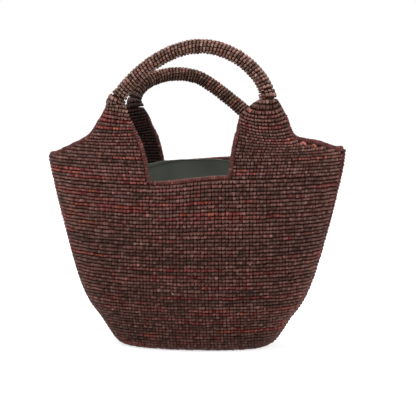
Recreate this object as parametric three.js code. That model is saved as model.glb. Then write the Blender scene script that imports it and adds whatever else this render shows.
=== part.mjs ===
// Basket handbag of crocheted raffia: a bowl-shaped body on a flat oval base, four tabs that rise
// from the rim and narrow to round necks, and two roped handles that fold at those necks.
// Frame: +X to the right, -Y to the front, +Z up. The origin is on the floor under the middle of
// the base. Lengths are millimetres and angles are degrees.

import * as THREE from 'three';

// Fabric, clearances and edgings
const wallThickness = 5.5;
const cornerWallShare = 1.27; // a pointed side corner is this much deeper than the wall is thick
const seatGap = 0.3;
const edgingDiameter = 5.6;
const seamWidth = 8;
const liningThickness = 1.2;
const liningClearance = 0.9;
const liningBelowRim = 1.6;

// Body, from the flat base to the rim
const baseHalfWidth = 86;
const baseHalfDepth = 40;
const rimHalfWidth = 188;
const rimHalfDepth = 81;
const rimHeight = 245;
const baseSquareness = 2.4; // section exponent at the base: 2 is an ellipse, more is squarer
const rimSquareness = 1.3; // section exponent at the rim: 1 is a pointed lens

// Wall outline: share of rimHeight, then how far the width and the depth have grown to the rim's
const wallOutline = [
  { height: 0, width: 0, depth: 0 },
  { height: 0.024, width: 0.13, depth: 0.25 },
  { height: 0.15, width: 0.34, depth: 0.63 },
  { height: 0.235, width: 0.49, depth: 0.85 },
  { height: 0.34, width: 0.605, depth: 1.02 },
  { height: 0.6, width: 0.79, depth: 1.2 },
  { height: 0.84, width: 0.93, depth: 1.15 },
  { height: 1, width: 1, depth: 1 },
  { height: 1.34, width: 1.02, depth: 0.8 },
];

// Cut-outs in the middle of the front and back, where the hand-made rim runs up to the right
const frontCutoutHeight = 223;
const frontCutoutRise = 4;
const backCutoutHeight = 231;
const backCutoutRise = 3;
const cutoutHalfAngle = 15;

// Side corners of the rim
const leftCornerHeight = 245;
const rightCornerHeight = 255;

// Handles: a rope core inside a crocheted sleeve
const handleDiameter = 17.6;
const coreDiameter = 12;
const coreClearance = 0.35;
const foldInward = 30; // from upright, until the neck's bevelled end meets its tab
const bevelMargin = 3;

// Tabs: distances from the middle of the bag and rises above the cut-out, from the cut-out's row up
// to the neck in even steps, along the edge beside the cut-out and along the rim's own slope
const tabs = [
  {
    name: 'front_left_tab', side: -1, hand: -1, puff: 3,
    cutoutEdge: [[43, -2], [49, 17.5], [53.5, 34], [59.5, 50], [68, 67], [78, 88]],
    rimEdge: [[155, 36], [126, 49.5], [111.5, 66.5], [103, 88]],
  },
  {
    name: 'front_right_tab', side: -1, hand: 1, puff: 9,
    cutoutEdge: [[50, 3], [52, 20], [54, 38], [56.5, 56], [61.5, 76], [80, 95]],
    rimEdge: [[160, 43], [130, 53], [120.5, 74], [110, 95]],
  },
  {
    name: 'back_left_tab', side: 1, hand: -1, puff: 3,
    cutoutEdge: [[49, -2], [53, 11], [56, 26], [59.5, 40], [64.5, 58], [76.7, 75]],
    rimEdge: [[155, 18], [124, 24], [108, 50], [94.3, 75]],
  },
  {
    name: 'back_right_tab', side: 1, hand: 1, puff: 16,
    cutoutEdge: [[50, 2], [51, 10], [52, 18], [54, 25], [59, 29], [66, 30]],
    rimEdge: [[153, 24], [125, 26], [103, 30], [86, 30]],
  },
];

// How much of the edging's room the fabric leaves free at each of those points
const cutoutInset = [1, 1, 1, 1, 0.15, 0];
const rimInset = [1, 1, 0, 0];

const cornerShare = 0.2; // how far up a tab its outer edge reaches the rim's corner
const closingShare = 0.3; // how far up a tab its sheet starts to close into the neck
const shoulderPower = 16; // high keeps a tab wide until just under the handle
const sideTurn = 8; // degrees from a tab's edge to where its outer and inner faces meet

// Where the middle of each handle's end stands on its tab
const frontLeftNeck = new THREE.Vector3(-91.3, -60, 311);
const frontRightNeck = new THREE.Vector3(97, -62, 319);
const backLeftNeck = new THREE.Vector3(-85.5, 66, 306);
const backRightNeck = new THREE.Vector3(76, 104, 260);

// Each handle runs from its start neck to its end neck, so that a positive turn about that line
// folds it outward. lean is its outward lean at rest. The crown lies at crownShare of the span.
const handles = [
  {
    name: 'front_handle', side: -1, start: frontLeftNeck, end: frontRightNeck, lean: -8,
    rise: 68.3, crownShare: 0.555, startPull: 0.17, startRound: 0.52, endPull: 0.4, endRound: 0.55,
  },
  {
    name: 'back_handle', side: 1, start: backRightNeck, end: backLeftNeck, lean: 40,
    rise: 57, crownShare: 0.58, startPull: 0.2, startRound: 0.22, endPull: 0.45, endRound: 0.62,
  },
];

// Fineness of the meshes
const panelColumns = 24;
const panelRows = 14;
const tabColumns = 8;
const tabRows = 15;
const seamColumns = 4;
const seamRows = 16;
const liningColumns = 24;
const liningRows = 14;
const ovalSides = 64;
const handleSides = 10;
const handleSteps = 34;
const edgingSides = 6;

const FRONT = -1;
const BACK = 1;
const LEFT = -1;
const RIGHT = 1;
const edgingRadius = edgingDiameter / 2;
const edgingRoom = edgingDiameter + seatGap;
const handleRadius = handleDiameter / 2;
const quarterTurn = Math.PI / 2;
const { lerp, clamp, degToRad, smoothstep } = THREE.MathUtils;

// Looks of the materials
const raffia = (colour) => new THREE.MeshStandardMaterial({ color: colour, roughness: 0.8, metalness: 0 });
const bodyRaffia = raffia(0x4a2a28);
const tabRaffia = raffia(0x55302d);
const edgingRaffia = raffia(0x6b302f);
const baseRaffia = raffia(0x3f2624);
const handleRaffia = raffia(0x70453c);
const ropeFibre = raffia(0xb59a6c);
const liningSatin = new THREE.MeshStandardMaterial({ color: 0x3a403c, roughness: 0.45, metalness: 0 });

// The wall as a surface: a level along its outline, an angle round it and a depth into it

const outlineCurve = new THREE.CatmullRomCurve3(wallOutline.map((step) => new THREE.Vector3(
  lerp(baseHalfWidth, rimHalfWidth, step.width),
  lerp(baseHalfDepth, rimHalfDepth, step.depth),
  step.height * rimHeight,
)), false, 'centripetal');

// Level of the outline at a height, found by halving
function levelAt(height) {
  let low = 0;
  let high = 1;
  for (let step = 0; step < 30; step += 1) {
    const middle = (low + high) / 2;
    if (outlineCurve.getPoint(middle).z < height) low = middle;
    else high = middle;
  }
  return (low + high) / 2;
}

// Exponent of the depth at a level: low is round-ended, high is a pointed lens
function depthExponent(height) {
  return 2 / lerp(baseSquareness, rimSquareness, smoothstep(height, 0, rimHeight));
}

// A point of the wall. angle is 0 in the middle of the panel and a quarter turn at a side corner.
function wallPoint(side, angle, level, depth) {
  const edge = outlineCurve.getPoint(level);
  const slope = outlineCurve.getTangent(level);
  const flare = Math.atan2((slope.x + slope.y) / 2, slope.z);
  const halfWidth = edge.x - depth * cornerWallShare * Math.cos(flare);
  const halfDepth = edge.y - depth * Math.cos(flare);
  return new THREE.Vector3(
    halfWidth * Math.sin(angle),
    side * halfDepth * Math.max(Math.cos(angle), 0) ** depthExponent(edge.z),
    edge.z + depth * Math.sin(flare),
  );
}

// Angle at which the wall is a given distance from the middle plane of the bag
function angleBesideCorner(level, distance) {
  const edge = outlineCurve.getPoint(level);
  return Math.acos((distance / edge.y) ** (1 / depthExponent(edge.z)));
}

// Height of the row where a panel ends and its tabs begin, under the cut-out's edging
function rowHeight(side, angle) {
  const middle = side === FRONT ? frontCutoutHeight : backCutoutHeight;
  const rise = side === FRONT ? frontCutoutRise : backCutoutRise;
  const turn = clamp(angle / degToRad(cutoutHalfAngle), -1, 1);
  return middle - edgingRoom + rise * Math.sin(turn * quarterTurn);
}

function cornerHeight(hand) {
  return hand === LEFT ? leftCornerHeight : rightCornerHeight;
}

const panelEdgeLevel = levelAt(frontCutoutHeight);
const panelEdgeAngle = angleBesideCorner(panelEdgeLevel, seamWidth / 2 + seatGap);

// Closed solids from grids and rings of points

function solid(points, faces) {
  const at = (index) => points[index];
  let volume = 0;
  for (const [a, b, c] of faces) volume += at(a).dot(new THREE.Vector3().crossVectors(at(b), at(c)));
  const outward = volume > 0 ? faces : faces.map(([a, b, c]) => [a, c, b]);
  const geometry = new THREE.BufferGeometry();
  geometry.setFromPoints(points);
  geometry.setIndex(outward.flat());
  geometry.computeVertexNormals();
  return geometry;
}

function quad(faces, a, b, c, d) {
  faces.push([a, b, c], [a, c, d]);
}

// A sheet between an outer and an inner face, each given as a function of across and up, 0 to 1
function sheetSolid(outer, inner, columns, rows) {
  const points = [];
  const faces = [];
  const stride = columns + 1;
  const innerStart = stride * (rows + 1);
  for (const face of [outer, inner]) {
    for (let row = 0; row <= rows; row += 1) {
      for (let column = 0; column <= columns; column += 1) {
        points.push(face(column / columns, row / rows));
      }
    }
  }
  const near = (column, row) => row * stride + column;
  const far = (column, row) => innerStart + row * stride + column;
  for (let row = 0; row < rows; row += 1) {
    for (let column = 0; column < columns; column += 1) {
      quad(faces, near(column, row), near(column + 1, row), near(column + 1, row + 1), near(column, row + 1));
      quad(faces, far(column, row), far(column, row + 1), far(column + 1, row + 1), far(column + 1, row));
    }
    quad(faces, near(0, row), near(0, row + 1), far(0, row + 1), far(0, row));
    quad(faces, near(columns, row), far(columns, row), far(columns, row + 1), near(columns, row + 1));
  }
  for (let column = 0; column < columns; column += 1) {
    quad(faces, near(column, 0), far(column, 0), far(column + 1, 0), near(column + 1, 0));
    quad(faces, near(column, rows), near(column + 1, rows), far(column + 1, rows), far(column, rows));
  }
  return solid(points, faces);
}

// Joins each ring of points to the next, all with the same number of points
function wrap(faces, rings, sides, first) {
  for (let ring = 0; ring < rings - 1; ring += 1) {
    for (let side = 0; side < sides; side += 1) {
      const next = (side + 1) % sides;
      const low = first + ring * sides;
      const high = low + sides;
      quad(faces, low + side, low + next, high + next, high + side);
    }
  }
}

// A solid rod through a list of rings, with flat ends
function rodSolid(rings) {
  const sides = rings[0].length;
  const points = rings.flat();
  const faces = [];
  wrap(faces, rings.length, sides, 0);
  const total = (ring) => ring.reduce((sum, point) => sum.add(point), new THREE.Vector3());
  const middle = (ring) => total(ring).divideScalar(sides);
  const lowEnd = points.length;
  const highEnd = lowEnd + 1;
  const lastRing = (rings.length - 1) * sides;
  points.push(middle(rings[0]), middle(rings[rings.length - 1]));
  for (let side = 0; side < sides; side += 1) {
    const next = (side + 1) % sides;
    faces.push([lowEnd, next, side], [highEnd, lastRing + side, lastRing + next]);
  }
  return solid(points, faces);
}

// An open tube between two lists of rings
function tubeSolid(outerRings, innerRings) {
  const sides = outerRings[0].length;
  const points = [...outerRings.flat(), ...innerRings.flat()];
  const innerStart = outerRings.length * sides;
  const lastRing = (outerRings.length - 1) * sides;
  const faces = [];
  wrap(faces, outerRings.length, sides, 0);
  const bore = [];
  wrap(bore, innerRings.length, sides, innerStart);
  for (const [a, b, c] of bore) faces.push([a, c, b]);
  for (let side = 0; side < sides; side += 1) {
    const next = (side + 1) % sides;
    quad(faces, side, innerStart + side, innerStart + next, next);
    quad(faces, lastRing + side, lastRing + next, innerStart + lastRing + next, innerStart + lastRing + side);
  }
  return solid(points, faces);
}

function piece(name, geometry, material) {
  const mesh = new THREE.Mesh(geometry, material);
  mesh.name = name;
  return mesh;
}

// Frame of a handle before it leans: X along its fold line, Y inward and Z up

function uprightFrame(handle) {
  const along = handle.end.clone().sub(handle.start).normalize();
  const inward = new THREE.Vector3(0, -handle.side, 0);
  inward.addScaledVector(along, -inward.dot(along)).normalize();
  const up = new THREE.Vector3().crossVectors(along, inward);
  const foot = handle.start.clone().addScaledVector(inward, -handleRadius);
  return new THREE.Matrix4().makeBasis(along, inward, up).setPosition(foot);
}

function handleOf(tab) {
  return handles.find((handle) => handle.side === tab.side);
}

// Body pieces

function basePanel() {
  const gapShare = seatGap * 1.5;
  const exponent = depthExponent(0);
  const ring = (halfWidth, halfDepth, height) => Array.from({ length: ovalSides }, (_, index) => {
    const angle = (index / ovalSides) * 2 * Math.PI;
    const depth = Math.sign(Math.cos(angle)) * Math.abs(Math.cos(angle)) ** exponent;
    return new THREE.Vector3(halfWidth * Math.sin(angle), halfDepth * depth, height);
  });
  const inside = wallPoint(BACK, quarterTurn, 0, wallThickness);
  const insideMiddle = wallPoint(BACK, 0, 0, wallThickness);
  return rodSolid([
    ring(baseHalfWidth - gapShare, baseHalfDepth - gapShare, 0),
    ring(inside.x - gapShare, insideMiddle.y - gapShare, inside.z),
  ]);
}

function panel(side) {
  const face = (depth) => (across, up) => {
    const share = across * 2 - 1;
    const topLevel = levelAt(rowHeight(side, share * panelEdgeAngle));
    const level = up * topLevel;
    const angle = share * angleBesideCorner(level, seamWidth / 2 + seatGap);
    return wallPoint(side, up === 1 ? share * panelEdgeAngle : angle, level, depth);
  };
  return sheetSolid(face(0), face(wallThickness), panelColumns, panelRows);
}

function sideSeam(hand) {
  const topLevel = levelAt(cornerHeight(hand) - edgingRoom);
  const face = (depth) => (across, up) => {
    const level = up * topLevel;
    const share = across * 2 - 1;
    const angle = angleBesideCorner(level, Math.abs(share) * seamWidth / 2);
    return wallPoint(share < 0 ? FRONT : BACK, hand * angle, level, depth);
  };
  return sheetSolid(face(0), face(wallThickness), seamColumns, seamRows);
}

// Edges of a tab on the wall, as distance from the middle and height. up is 0 at the row, 1 at the neck.

function tabEdges(tab) {
  const cutoutHeight = tab.side === FRONT ? frontCutoutHeight : backCutoutHeight;
  const row = (angle) => rowHeight(tab.side, tab.hand * angle) + seatGap;
  const place = ([distance, rise]) => new THREE.Vector2(distance, cutoutHeight + rise);
  const cutoutPoints = tab.cutoutEdge.map(place);
  cutoutPoints.forEach((point, index) => { point.x += edgingRoom * cutoutInset[index]; });
  const cutoutSpline = new THREE.SplineCurve(cutoutPoints);
  const cutoutEdge = (up) => {
    const point = cutoutSpline.getPoint(up);
    const foot = row(Math.asin(point.x / rimHalfWidth));
    return new THREE.Vector2(point.x, lerp(foot, point.y, smoothstep(up, 0, cornerShare)));
  };
  const cornerTop = cornerHeight(tab.hand) - edgingRoom;
  const cornerPlace = (height) => {
    const level = levelAt(height);
    const angle = angleBesideCorner(level, seamWidth / 2 + seatGap);
    return new THREE.Vector2(outlineCurve.getPoint(level).x * Math.sin(angle), height);
  };
  const rimPoints = tab.rimEdge.map(place);
  rimPoints.forEach((point, index) => { point.y -= edgingRoom * rimInset[index]; });
  const rimSpline = new THREE.SplineCurve([cornerPlace(cornerTop), ...rimPoints]);
  const rimEdge = (up) => {
    if (up <= cornerShare) return cornerPlace(lerp(row(panelEdgeAngle), cornerTop, up / cornerShare));
    return rimSpline.getPoint((up - cornerShare) / (1 - cornerShare));
  };
  return { cutoutEdge, rimEdge };
}

// A tab: a sheet at its foot that closes round the end of the handle at its neck.
// across is 0 at the side of the bag and 1 at the cut-out.
function tabFaces(tab) {
  const { cutoutEdge, rimEdge } = tabEdges(tab);
  const handle = handleOf(tab);
  const frame = uprightFrame(handle);
  const span = handle.start.distanceTo(handle.end);
  const atStart = Math.sign(handle.start.x) === tab.hand;
  const neckAlong = atStart ? 0 : span;
  const away = atStart ? -1 : 1;
  const bevel = Math.tan(degToRad(foldInward + bevelMargin));
  const wallFace = (across, up, depth) => {
    const from = rimEdge(up);
    const to = cutoutEdge(up);
    const angleOf = (point) => Math.asin(Math.min(point.x / outlineCurve.getPoint(levelAt(point.y)).x, 1));
    const height = lerp(from.y, to.y, across);
    const angle = lerp(angleOf(from), angleOf(to), across);
    const footHeight = rowHeight(tab.side, tab.hand * angle) + seatGap;
    const level = levelAt(up === 0 ? footHeight : height);
    const point = wallPoint(tab.side, tab.hand * angle, level, depth);
    point.y += tab.side * tab.puff * Math.sin(Math.PI * up) * Math.sin(Math.PI * across);
    return point;
  };
  const midFace = (across, up) => wallFace(across, up, wallThickness / 2);
  const neck = new THREE.Vector3(neckAlong, handleRadius, 0).applyMatrix4(frame);
  const along = new THREE.Vector3().setFromMatrixColumn(frame, 0);
  const inward = new THREE.Vector3().setFromMatrixColumn(frame, 1);
  const upward = new THREE.Vector3().setFromMatrixColumn(frame, 2);
  const rowMiddle = (up) => midFace(0, up).add(midFace(1, up)).divideScalar(2);
  const shift = neck.clone().sub(rowMiddle(1));
  const face = (depth) => (across, up) => {
    const closing = smoothstep(up, closingShare, 1);
    const flat = wallFace(across, up, depth);
    const turn = lerp(degToRad(sideTurn), degToRad(180 - sideTurn), across);
    const throughShare = (depth > 0 ? 1 : -1) * Math.sin(turn);
    const halfWidth = midFace(0, up).sub(midFace(1, up)).divideScalar(2);
    halfWidth.lerp(along.clone().multiplyScalar(away * handleRadius), up ** shoulderPower);
    const halfThickness = lerp(wallThickness / 2, handleRadius, closing);
    const round = rowMiddle(up)
      .addScaledVector(halfWidth, Math.cos(turn))
      .addScaledVector(inward, halfThickness * throughShare);
    flat.lerp(round, closing).addScaledVector(shift, up * up);
    const bevelHere = seatGap / 2 + handleRadius * (1 + throughShare) * bevel;
    return flat.addScaledVector(upward, -bevelHere * closing);
  };
  return { outer: face(0), inner: face(wallThickness) };
}

function tabSolid(tab) {
  const { outer, inner } = tabFaces(tab);
  return sheetSolid(outer, inner, tabColumns, tabRows);
}

// Edgings: a roll of slip stitches that follows the edge of the fabric

const sharpestMitre = 0.5; // cosine of the sharpest half corner that a roll is mitred for

function rollSolid(path, acrossEdge) {
  const rings = path.map((point, index) => {
    const before = path[Math.max(index - 1, 0)];
    const after = path[Math.min(index + 1, path.length - 1)];
    const arriving = point.clone().sub(before).normalize();
    const leaving = after.clone().sub(point).normalize();
    if (index === 0) arriving.copy(leaving);
    if (index === path.length - 1) leaving.copy(arriving);
    const ahead = arriving.clone().add(leaving).normalize();
    const through = acrossEdge[index].clone();
    through.addScaledVector(ahead, -through.dot(ahead)).normalize();
    const outward = new THREE.Vector3().crossVectors(ahead, through);
    const mitre = 1 / Math.max(ahead.dot(arriving), sharpestMitre);
    const bend = leaving.clone().sub(arriving);
    const widenOut = bend.length() > 1e-6 ? Math.abs(bend.normalize().dot(outward)) : 0;
    const widenThrough = bend.length() > 1e-6 ? Math.abs(bend.dot(through)) : 0;
    return Array.from({ length: edgingSides }, (_, side) => {
      const angle = (side / edgingSides) * 2 * Math.PI;
      return point.clone()
        .addScaledVector(through, edgingRadius * Math.cos(angle) * lerp(1, mitre, widenThrough))
        .addScaledVector(outward, edgingRadius * Math.sin(angle) * lerp(1, mitre, widenOut));
    });
  });
  return rodSolid(rings);
}

// A stretch of roll beside one edge of a tab, as points and the directions through the fabric
function besideTab(tab, across, ups) {
  const { outer, inner } = tabFaces(tab);
  const middle = (up) => outer(across, up).lerp(inner(across, up), 0.5);
  const away = across === 1 ? new THREE.Vector3(-tab.hand, 0, 0) : new THREE.Vector3(tab.hand, 0, 1);
  return ups.map((up) => {
    const edge = middle(up);
    const ahead = middle(up + 0.01).sub(middle(up - 0.01)).normalize();
    const through = inner(across, up).sub(outer(across, up)).normalize();
    const outward = new THREE.Vector3().crossVectors(ahead, through).normalize();
    outward.multiplyScalar(Math.sign(outward.dot(away)));
    return { point: edge.addScaledVector(outward, edgingRadius + seatGap), through };
  });
}

// How far up an edge of a tab it reaches a height, found by halving
function shareAtHeight(edge, height) {
  let low = 0;
  let high = 1;
  for (let step = 0; step < 20; step += 1) {
    const middle = (low + high) / 2;
    if (edge(middle).y < height) low = middle;
    else high = middle;
  }
  return (low + high) / 2;
}

function steps(from, to, count) {
  return Array.from({ length: count + 1 }, (_, index) => lerp(from, to, index / count));
}

// How far up a tab its edgings run, where the fabric closes into the neck, and where the rim's begins
const edgingTop = 9 / tabRows;
const rimEdgingFoot = 4 / tabRows;

function findTab(side, hand) {
  return tabs.find((tab) => tab.side === side && tab.hand === hand);
}

function roll(stretch) {
  return rollSolid(stretch.map((step) => step.point), stretch.map((step) => step.through));
}

function alongRim(side, angle, height) {
  const level = levelAt(height);
  const point = wallPoint(side, angle, level, wallThickness / 2);
  const through = wallPoint(side, angle, level, wallThickness).sub(wallPoint(side, angle, level, 0));
  return { point, through: through.normalize() };
}

function cutoutEdging(side) {
  const [left, right] = [LEFT, RIGHT].map((hand) => findTab(side, hand));
  const rollAngle = (tab) => {
    const foot = tabEdges(tab).cutoutEdge(0).x - seatGap - edgingRadius;
    return tab.hand * Math.asin(foot / outlineCurve.getPoint(levelAt(rowHeight(side, 0))).x);
  };
  const bottom = steps(rollAngle(left), rollAngle(right), 8).map((angle) => (
    alongRim(side, angle, rowHeight(side, angle) + seatGap + edgingRadius)
  ));
  const lowest = (tab) => {
    const { cutoutEdge } = tabEdges(tab);
    return shareAtHeight(cutoutEdge, cutoutEdge(0).y + 2 * edgingDiameter);
  };
  return roll([
    ...besideTab(left, 1, steps(edgingTop, lowest(left), 7)),
    ...bottom,
    ...besideTab(right, 1, steps(lowest(right), edgingTop, 7)),
  ]);
}

function rimEdging(hand) {
  const [front, back] = [FRONT, BACK].map((side) => findTab(side, hand));
  const top = cornerHeight(hand) - edgingRadius;
  const cornerStops = [[FRONT, panelEdgeAngle], [FRONT, quarterTurn], [BACK, panelEdgeAngle]];
  const corner = cornerStops.map(([side, angle]) => alongRim(side, hand * angle, top));
  corner[1].through = new THREE.Vector3(-hand, 0, 0);
  return roll([
    ...besideTab(front, 0, steps(edgingTop, rimEdgingFoot, 5)),
    ...corner,
    ...besideTab(back, 0, steps(rimEdgingFoot, edgingTop, 5)),
  ]);
}

// Lining: a satin bag sewn inside, its top edge just under the rim

function liningPanel(side) {
  const start = wallThickness + liningClearance;
  const face = (depth) => (across, up) => {
    const share = across * 2 - 1;
    const top = rowHeight(side, share * quarterTurn) + edgingRoom - liningBelowRim;
    const level = up * levelAt(top);
    return wallPoint(side, share * angleBesideCorner(level, seatGap / 2), level, depth);
  };
  return sheetSolid(face(start), face(start + liningThickness), liningColumns, liningRows);
}

function liningBase() {
  const start = wallThickness + liningClearance;
  const outside = wallPoint(BACK, quarterTurn, 0, start + liningThickness);
  const outsideMiddle = wallPoint(BACK, 0, 0, start + liningThickness);
  const exponent = depthExponent(0);
  const low = wallPoint(BACK, 0, 0, wallThickness).z + seatGap;
  const ring = (height) => Array.from({ length: ovalSides }, (_, index) => {
    const angle = (index / ovalSides) * 2 * Math.PI;
    const depth = Math.sign(Math.cos(angle)) * Math.abs(Math.cos(angle)) ** exponent;
    return new THREE.Vector3(
      (outside.x - seatGap) * Math.sin(angle),
      (outsideMiddle.y - seatGap) * depth,
      height,
    );
  });
  return rodSolid([ring(low), ring(low + liningThickness)]);
}

// Handles, made along their own fold line and then leaned

function handleRings(handle, radius) {
  const span = handle.start.distanceTo(handle.end);
  const crown = span * handle.crownShare;
  const foot = seatGap / 2;
  const at = (along, up) => new THREE.Vector3(along, handleRadius, up);
  const rising = new THREE.CubicBezierCurve3(
    at(0, foot),
    at(0, handle.rise * handle.startPull),
    at(crown * (1 - handle.startRound), handle.rise),
    at(crown, handle.rise),
  );
  const falling = new THREE.CubicBezierCurve3(
    at(crown, handle.rise),
    at(crown + (span - crown) * handle.endRound, handle.rise),
    at(span, handle.rise * handle.endPull),
    at(span, foot),
  );
  const path = new THREE.CurvePath();
  path.add(rising);
  path.add(falling);
  const inward = new THREE.Vector3(0, 1, 0);
  return steps(0, 1, handleSteps).map((share) => {
    const centre = path.getPointAt(share);
    const ahead = path.getTangentAt(share);
    const outward = new THREE.Vector3().crossVectors(inward, ahead);
    return Array.from({ length: handleSides }, (_, side) => {
      const angle = (side / handleSides) * 2 * Math.PI;
      return centre.clone()
        .addScaledVector(outward, radius * Math.sin(angle))
        .addScaledVector(inward, -radius * Math.cos(angle));
    });
  });
}

function handleGroup(handle) {
  const sleeve = tubeSolid(
    handleRings(handle, handleRadius),
    handleRings(handle, coreDiameter / 2 + coreClearance),
  );
  const core = rodSolid(handleRings(handle, coreDiameter / 2));
  const leaning = new THREE.Group();
  leaning.add(piece(`${handle.name}_sleeve`, sleeve, handleRaffia));
  leaning.add(piece(`${handle.name}_core`, core, ropeFibre));
  leaning.rotation.x = degToRad(handle.lean);
  const standing = new THREE.Group();
  uprightFrame(handle).decompose(standing.position, standing.quaternion, standing.scale);
  standing.add(leaning);
  return standing;
}

const handbag = new THREE.Group();
handbag.add(piece('base_panel', basePanel(), baseRaffia));
handbag.add(piece('front_panel', panel(FRONT), bodyRaffia));
handbag.add(piece('back_panel', panel(BACK), bodyRaffia));
for (const [name, hand] of [['left_side_seam', LEFT], ['right_side_seam', RIGHT]]) {
  handbag.add(piece(name, sideSeam(hand), edgingRaffia));
}
for (const tab of tabs) handbag.add(piece(tab.name, tabSolid(tab), tabRaffia));
for (const [name, side] of [['front_cutout_edging', FRONT], ['back_cutout_edging', BACK]]) {
  handbag.add(piece(name, cutoutEdging(side), edgingRaffia));
}
for (const [name, hand] of [['left_rim_edging', LEFT], ['right_rim_edging', RIGHT]]) {
  handbag.add(piece(name, rimEdging(hand), edgingRaffia));
}
for (const [name, side] of [['lining_front', FRONT], ['lining_back', BACK]]) {
  handbag.add(piece(name, liningPanel(side), liningSatin));
}
handbag.add(piece('lining_base', liningBase(), liningSatin));
for (const handle of handles) handbag.add(handleGroup(handle));

export default handbag;
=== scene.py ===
# Looks of a basket handbag: every stitch of its crocheted raffia, its satin lining and its folding
# handles. Shapes are worked out in millimetres, with the frame's own axes: +X to the right, -Y to
# the front and +Z up from the floor. They are scaled to metres when a mesh is made.

import math

import bpy
import numpy as np
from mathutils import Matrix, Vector


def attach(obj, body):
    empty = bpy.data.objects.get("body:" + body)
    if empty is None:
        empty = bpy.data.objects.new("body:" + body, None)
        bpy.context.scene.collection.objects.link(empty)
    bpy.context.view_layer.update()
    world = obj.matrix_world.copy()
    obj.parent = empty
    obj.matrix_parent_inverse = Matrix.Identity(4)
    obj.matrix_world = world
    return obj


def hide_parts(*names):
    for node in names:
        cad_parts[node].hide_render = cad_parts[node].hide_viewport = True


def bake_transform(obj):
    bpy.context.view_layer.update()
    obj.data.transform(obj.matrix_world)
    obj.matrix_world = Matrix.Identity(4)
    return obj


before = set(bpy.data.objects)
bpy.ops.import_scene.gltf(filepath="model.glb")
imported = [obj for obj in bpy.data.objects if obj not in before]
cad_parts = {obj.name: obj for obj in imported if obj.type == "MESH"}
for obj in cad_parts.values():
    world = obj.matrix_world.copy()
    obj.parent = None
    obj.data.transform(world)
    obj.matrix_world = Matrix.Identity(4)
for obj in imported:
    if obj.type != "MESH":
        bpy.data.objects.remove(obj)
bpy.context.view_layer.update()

MM = 0.001
rng = np.random.default_rng(12)

# The body, with the same sizes as the construction
FRONT, BACK, LEFT, RIGHT = -1, 1, -1, 1
SIDE_NAMES = {FRONT: "front", BACK: "back"}
HAND_NAMES = {LEFT: "left", RIGHT: "right"}
WALL_THICKNESS = 5.5
CORNER_WALL_SHARE = 1.27
SEAT_GAP = 0.3
EDGING_DIAMETER = 5.6
SEAM_WIDTH = 8
LINING_THICKNESS = 1.2
LINING_CLEARANCE = 0.9
LINING_BELOW_RIM = 1.6
BASE_HALF_WIDTH, BASE_HALF_DEPTH = 86, 40
RIM_HALF_WIDTH, RIM_HALF_DEPTH = 188, 81
RIM_HEIGHT = 245
BASE_SQUARENESS, RIM_SQUARENESS = 2.4, 1.3
CUTOUT_HEIGHT = {FRONT: 223, BACK: 231}
CUTOUT_RISE = {FRONT: 4, BACK: 3}
CUTOUT_HALF_ANGLE = math.radians(15)
CORNER_HEIGHT = {LEFT: 245, RIGHT: 255}
HANDLE_DIAMETER = 17.6

EDGING_RADIUS = EDGING_DIAMETER / 2
EDGING_ROOM = EDGING_DIAMETER + SEAT_GAP
SEAM_ROOM = SEAM_WIDTH / 2 + SEAT_GAP
HANDLE_RADIUS = HANDLE_DIAMETER / 2

# Outline of the wall: share of the rim's height, then how far width and depth have grown
WALL_OUTLINE = [
    (0, 0, 0), (0.024, 0.13, 0.25), (0.15, 0.34, 0.63), (0.235, 0.49, 0.85), (0.34, 0.605, 1.02),
    (0.6, 0.79, 1.2), (0.84, 0.93, 1.15), (1, 1, 1), (1.34, 1.02, 0.8),
]

# Tabs: (distance from the middle, rise above the cut-out) from the row up to the neck. The rows sag
# in a tab's middle, and slant down towards the cut-out at its neck. Where a handle leaves a tab it
# is wider by flare, and painted shade or light makes it darker or lighter by neck_shade, as painted
# shade darkens a tab's inside by inside_shade. The fabric starts to bend with the handle
# neck_below under its foot.
PLAIN_TAB = {
    "puff": 3, "sag": 0.0, "slant": 0.0, "inside_shade": 0.6, "flare_length": 20,
    "rings_from": 0.4, "rings_full": 0.95, "neck_rows": 2, "neck_below": 12.0,
}
TABS = {
    "front_left": PLAIN_TAB | {
        "side": FRONT, "hand": LEFT, "sag": 1.0, "slant": 5.0, "neck_shade": 0.9, "flare": 0.36,
        "cutout_edge": [(43, -2), (49, 17.5), (53.5, 34), (59.5, 50), (68, 67), (78, 88)],
        "rim_edge": [(155, 36), (127.3, 51), (114.3, 68), (103, 88)],
    },
    "front_right": PLAIN_TAB | {
        "side": FRONT, "hand": RIGHT, "puff": 9, "sag": 8.0, "neck_shade": 1.0, "flare": 0.22,
        "neck_rows": 1, "neck_below": 7.0,
        "cutout_edge": [(49, 3), (51, 20), (53.3, 38), (56.3, 56), (61.5, 76), (80, 95)],
        "rim_edge": [(160, 43), (129, 52.5), (119.5, 74), (110, 95)],
    },
    "back_left": PLAIN_TAB | {
        "side": BACK, "hand": LEFT, "inside_shade": 0.1, "neck_shade": 0.3, "flare": 0.0,
        "cutout_edge": [(47.7, -2), (51.7, 11), (55, 26), (59.5, 40), (67, 58), (76.7, 75)],
        "rim_edge": [(155, 18), (124, 24), (108, 50), (94.3, 75)],
    },
    "back_right": PLAIN_TAB | {
        "side": BACK, "hand": RIGHT, "puff": 16, "neck_shade": 0.8, "flare": 0.3, "flare_length": 60,
        "rings_from": 0.15, "rings_full": 0.9, "neck_rows": 1, "neck_below": 5.0,
        "cutout_edge": [(50, 2), (51, 10), (52, 18), (54, 25), (59, 29), (66, 30)],
        "rim_edge": [(153, 24), (125, 26), (103, 30), (86, 30)],
    },
}
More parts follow.
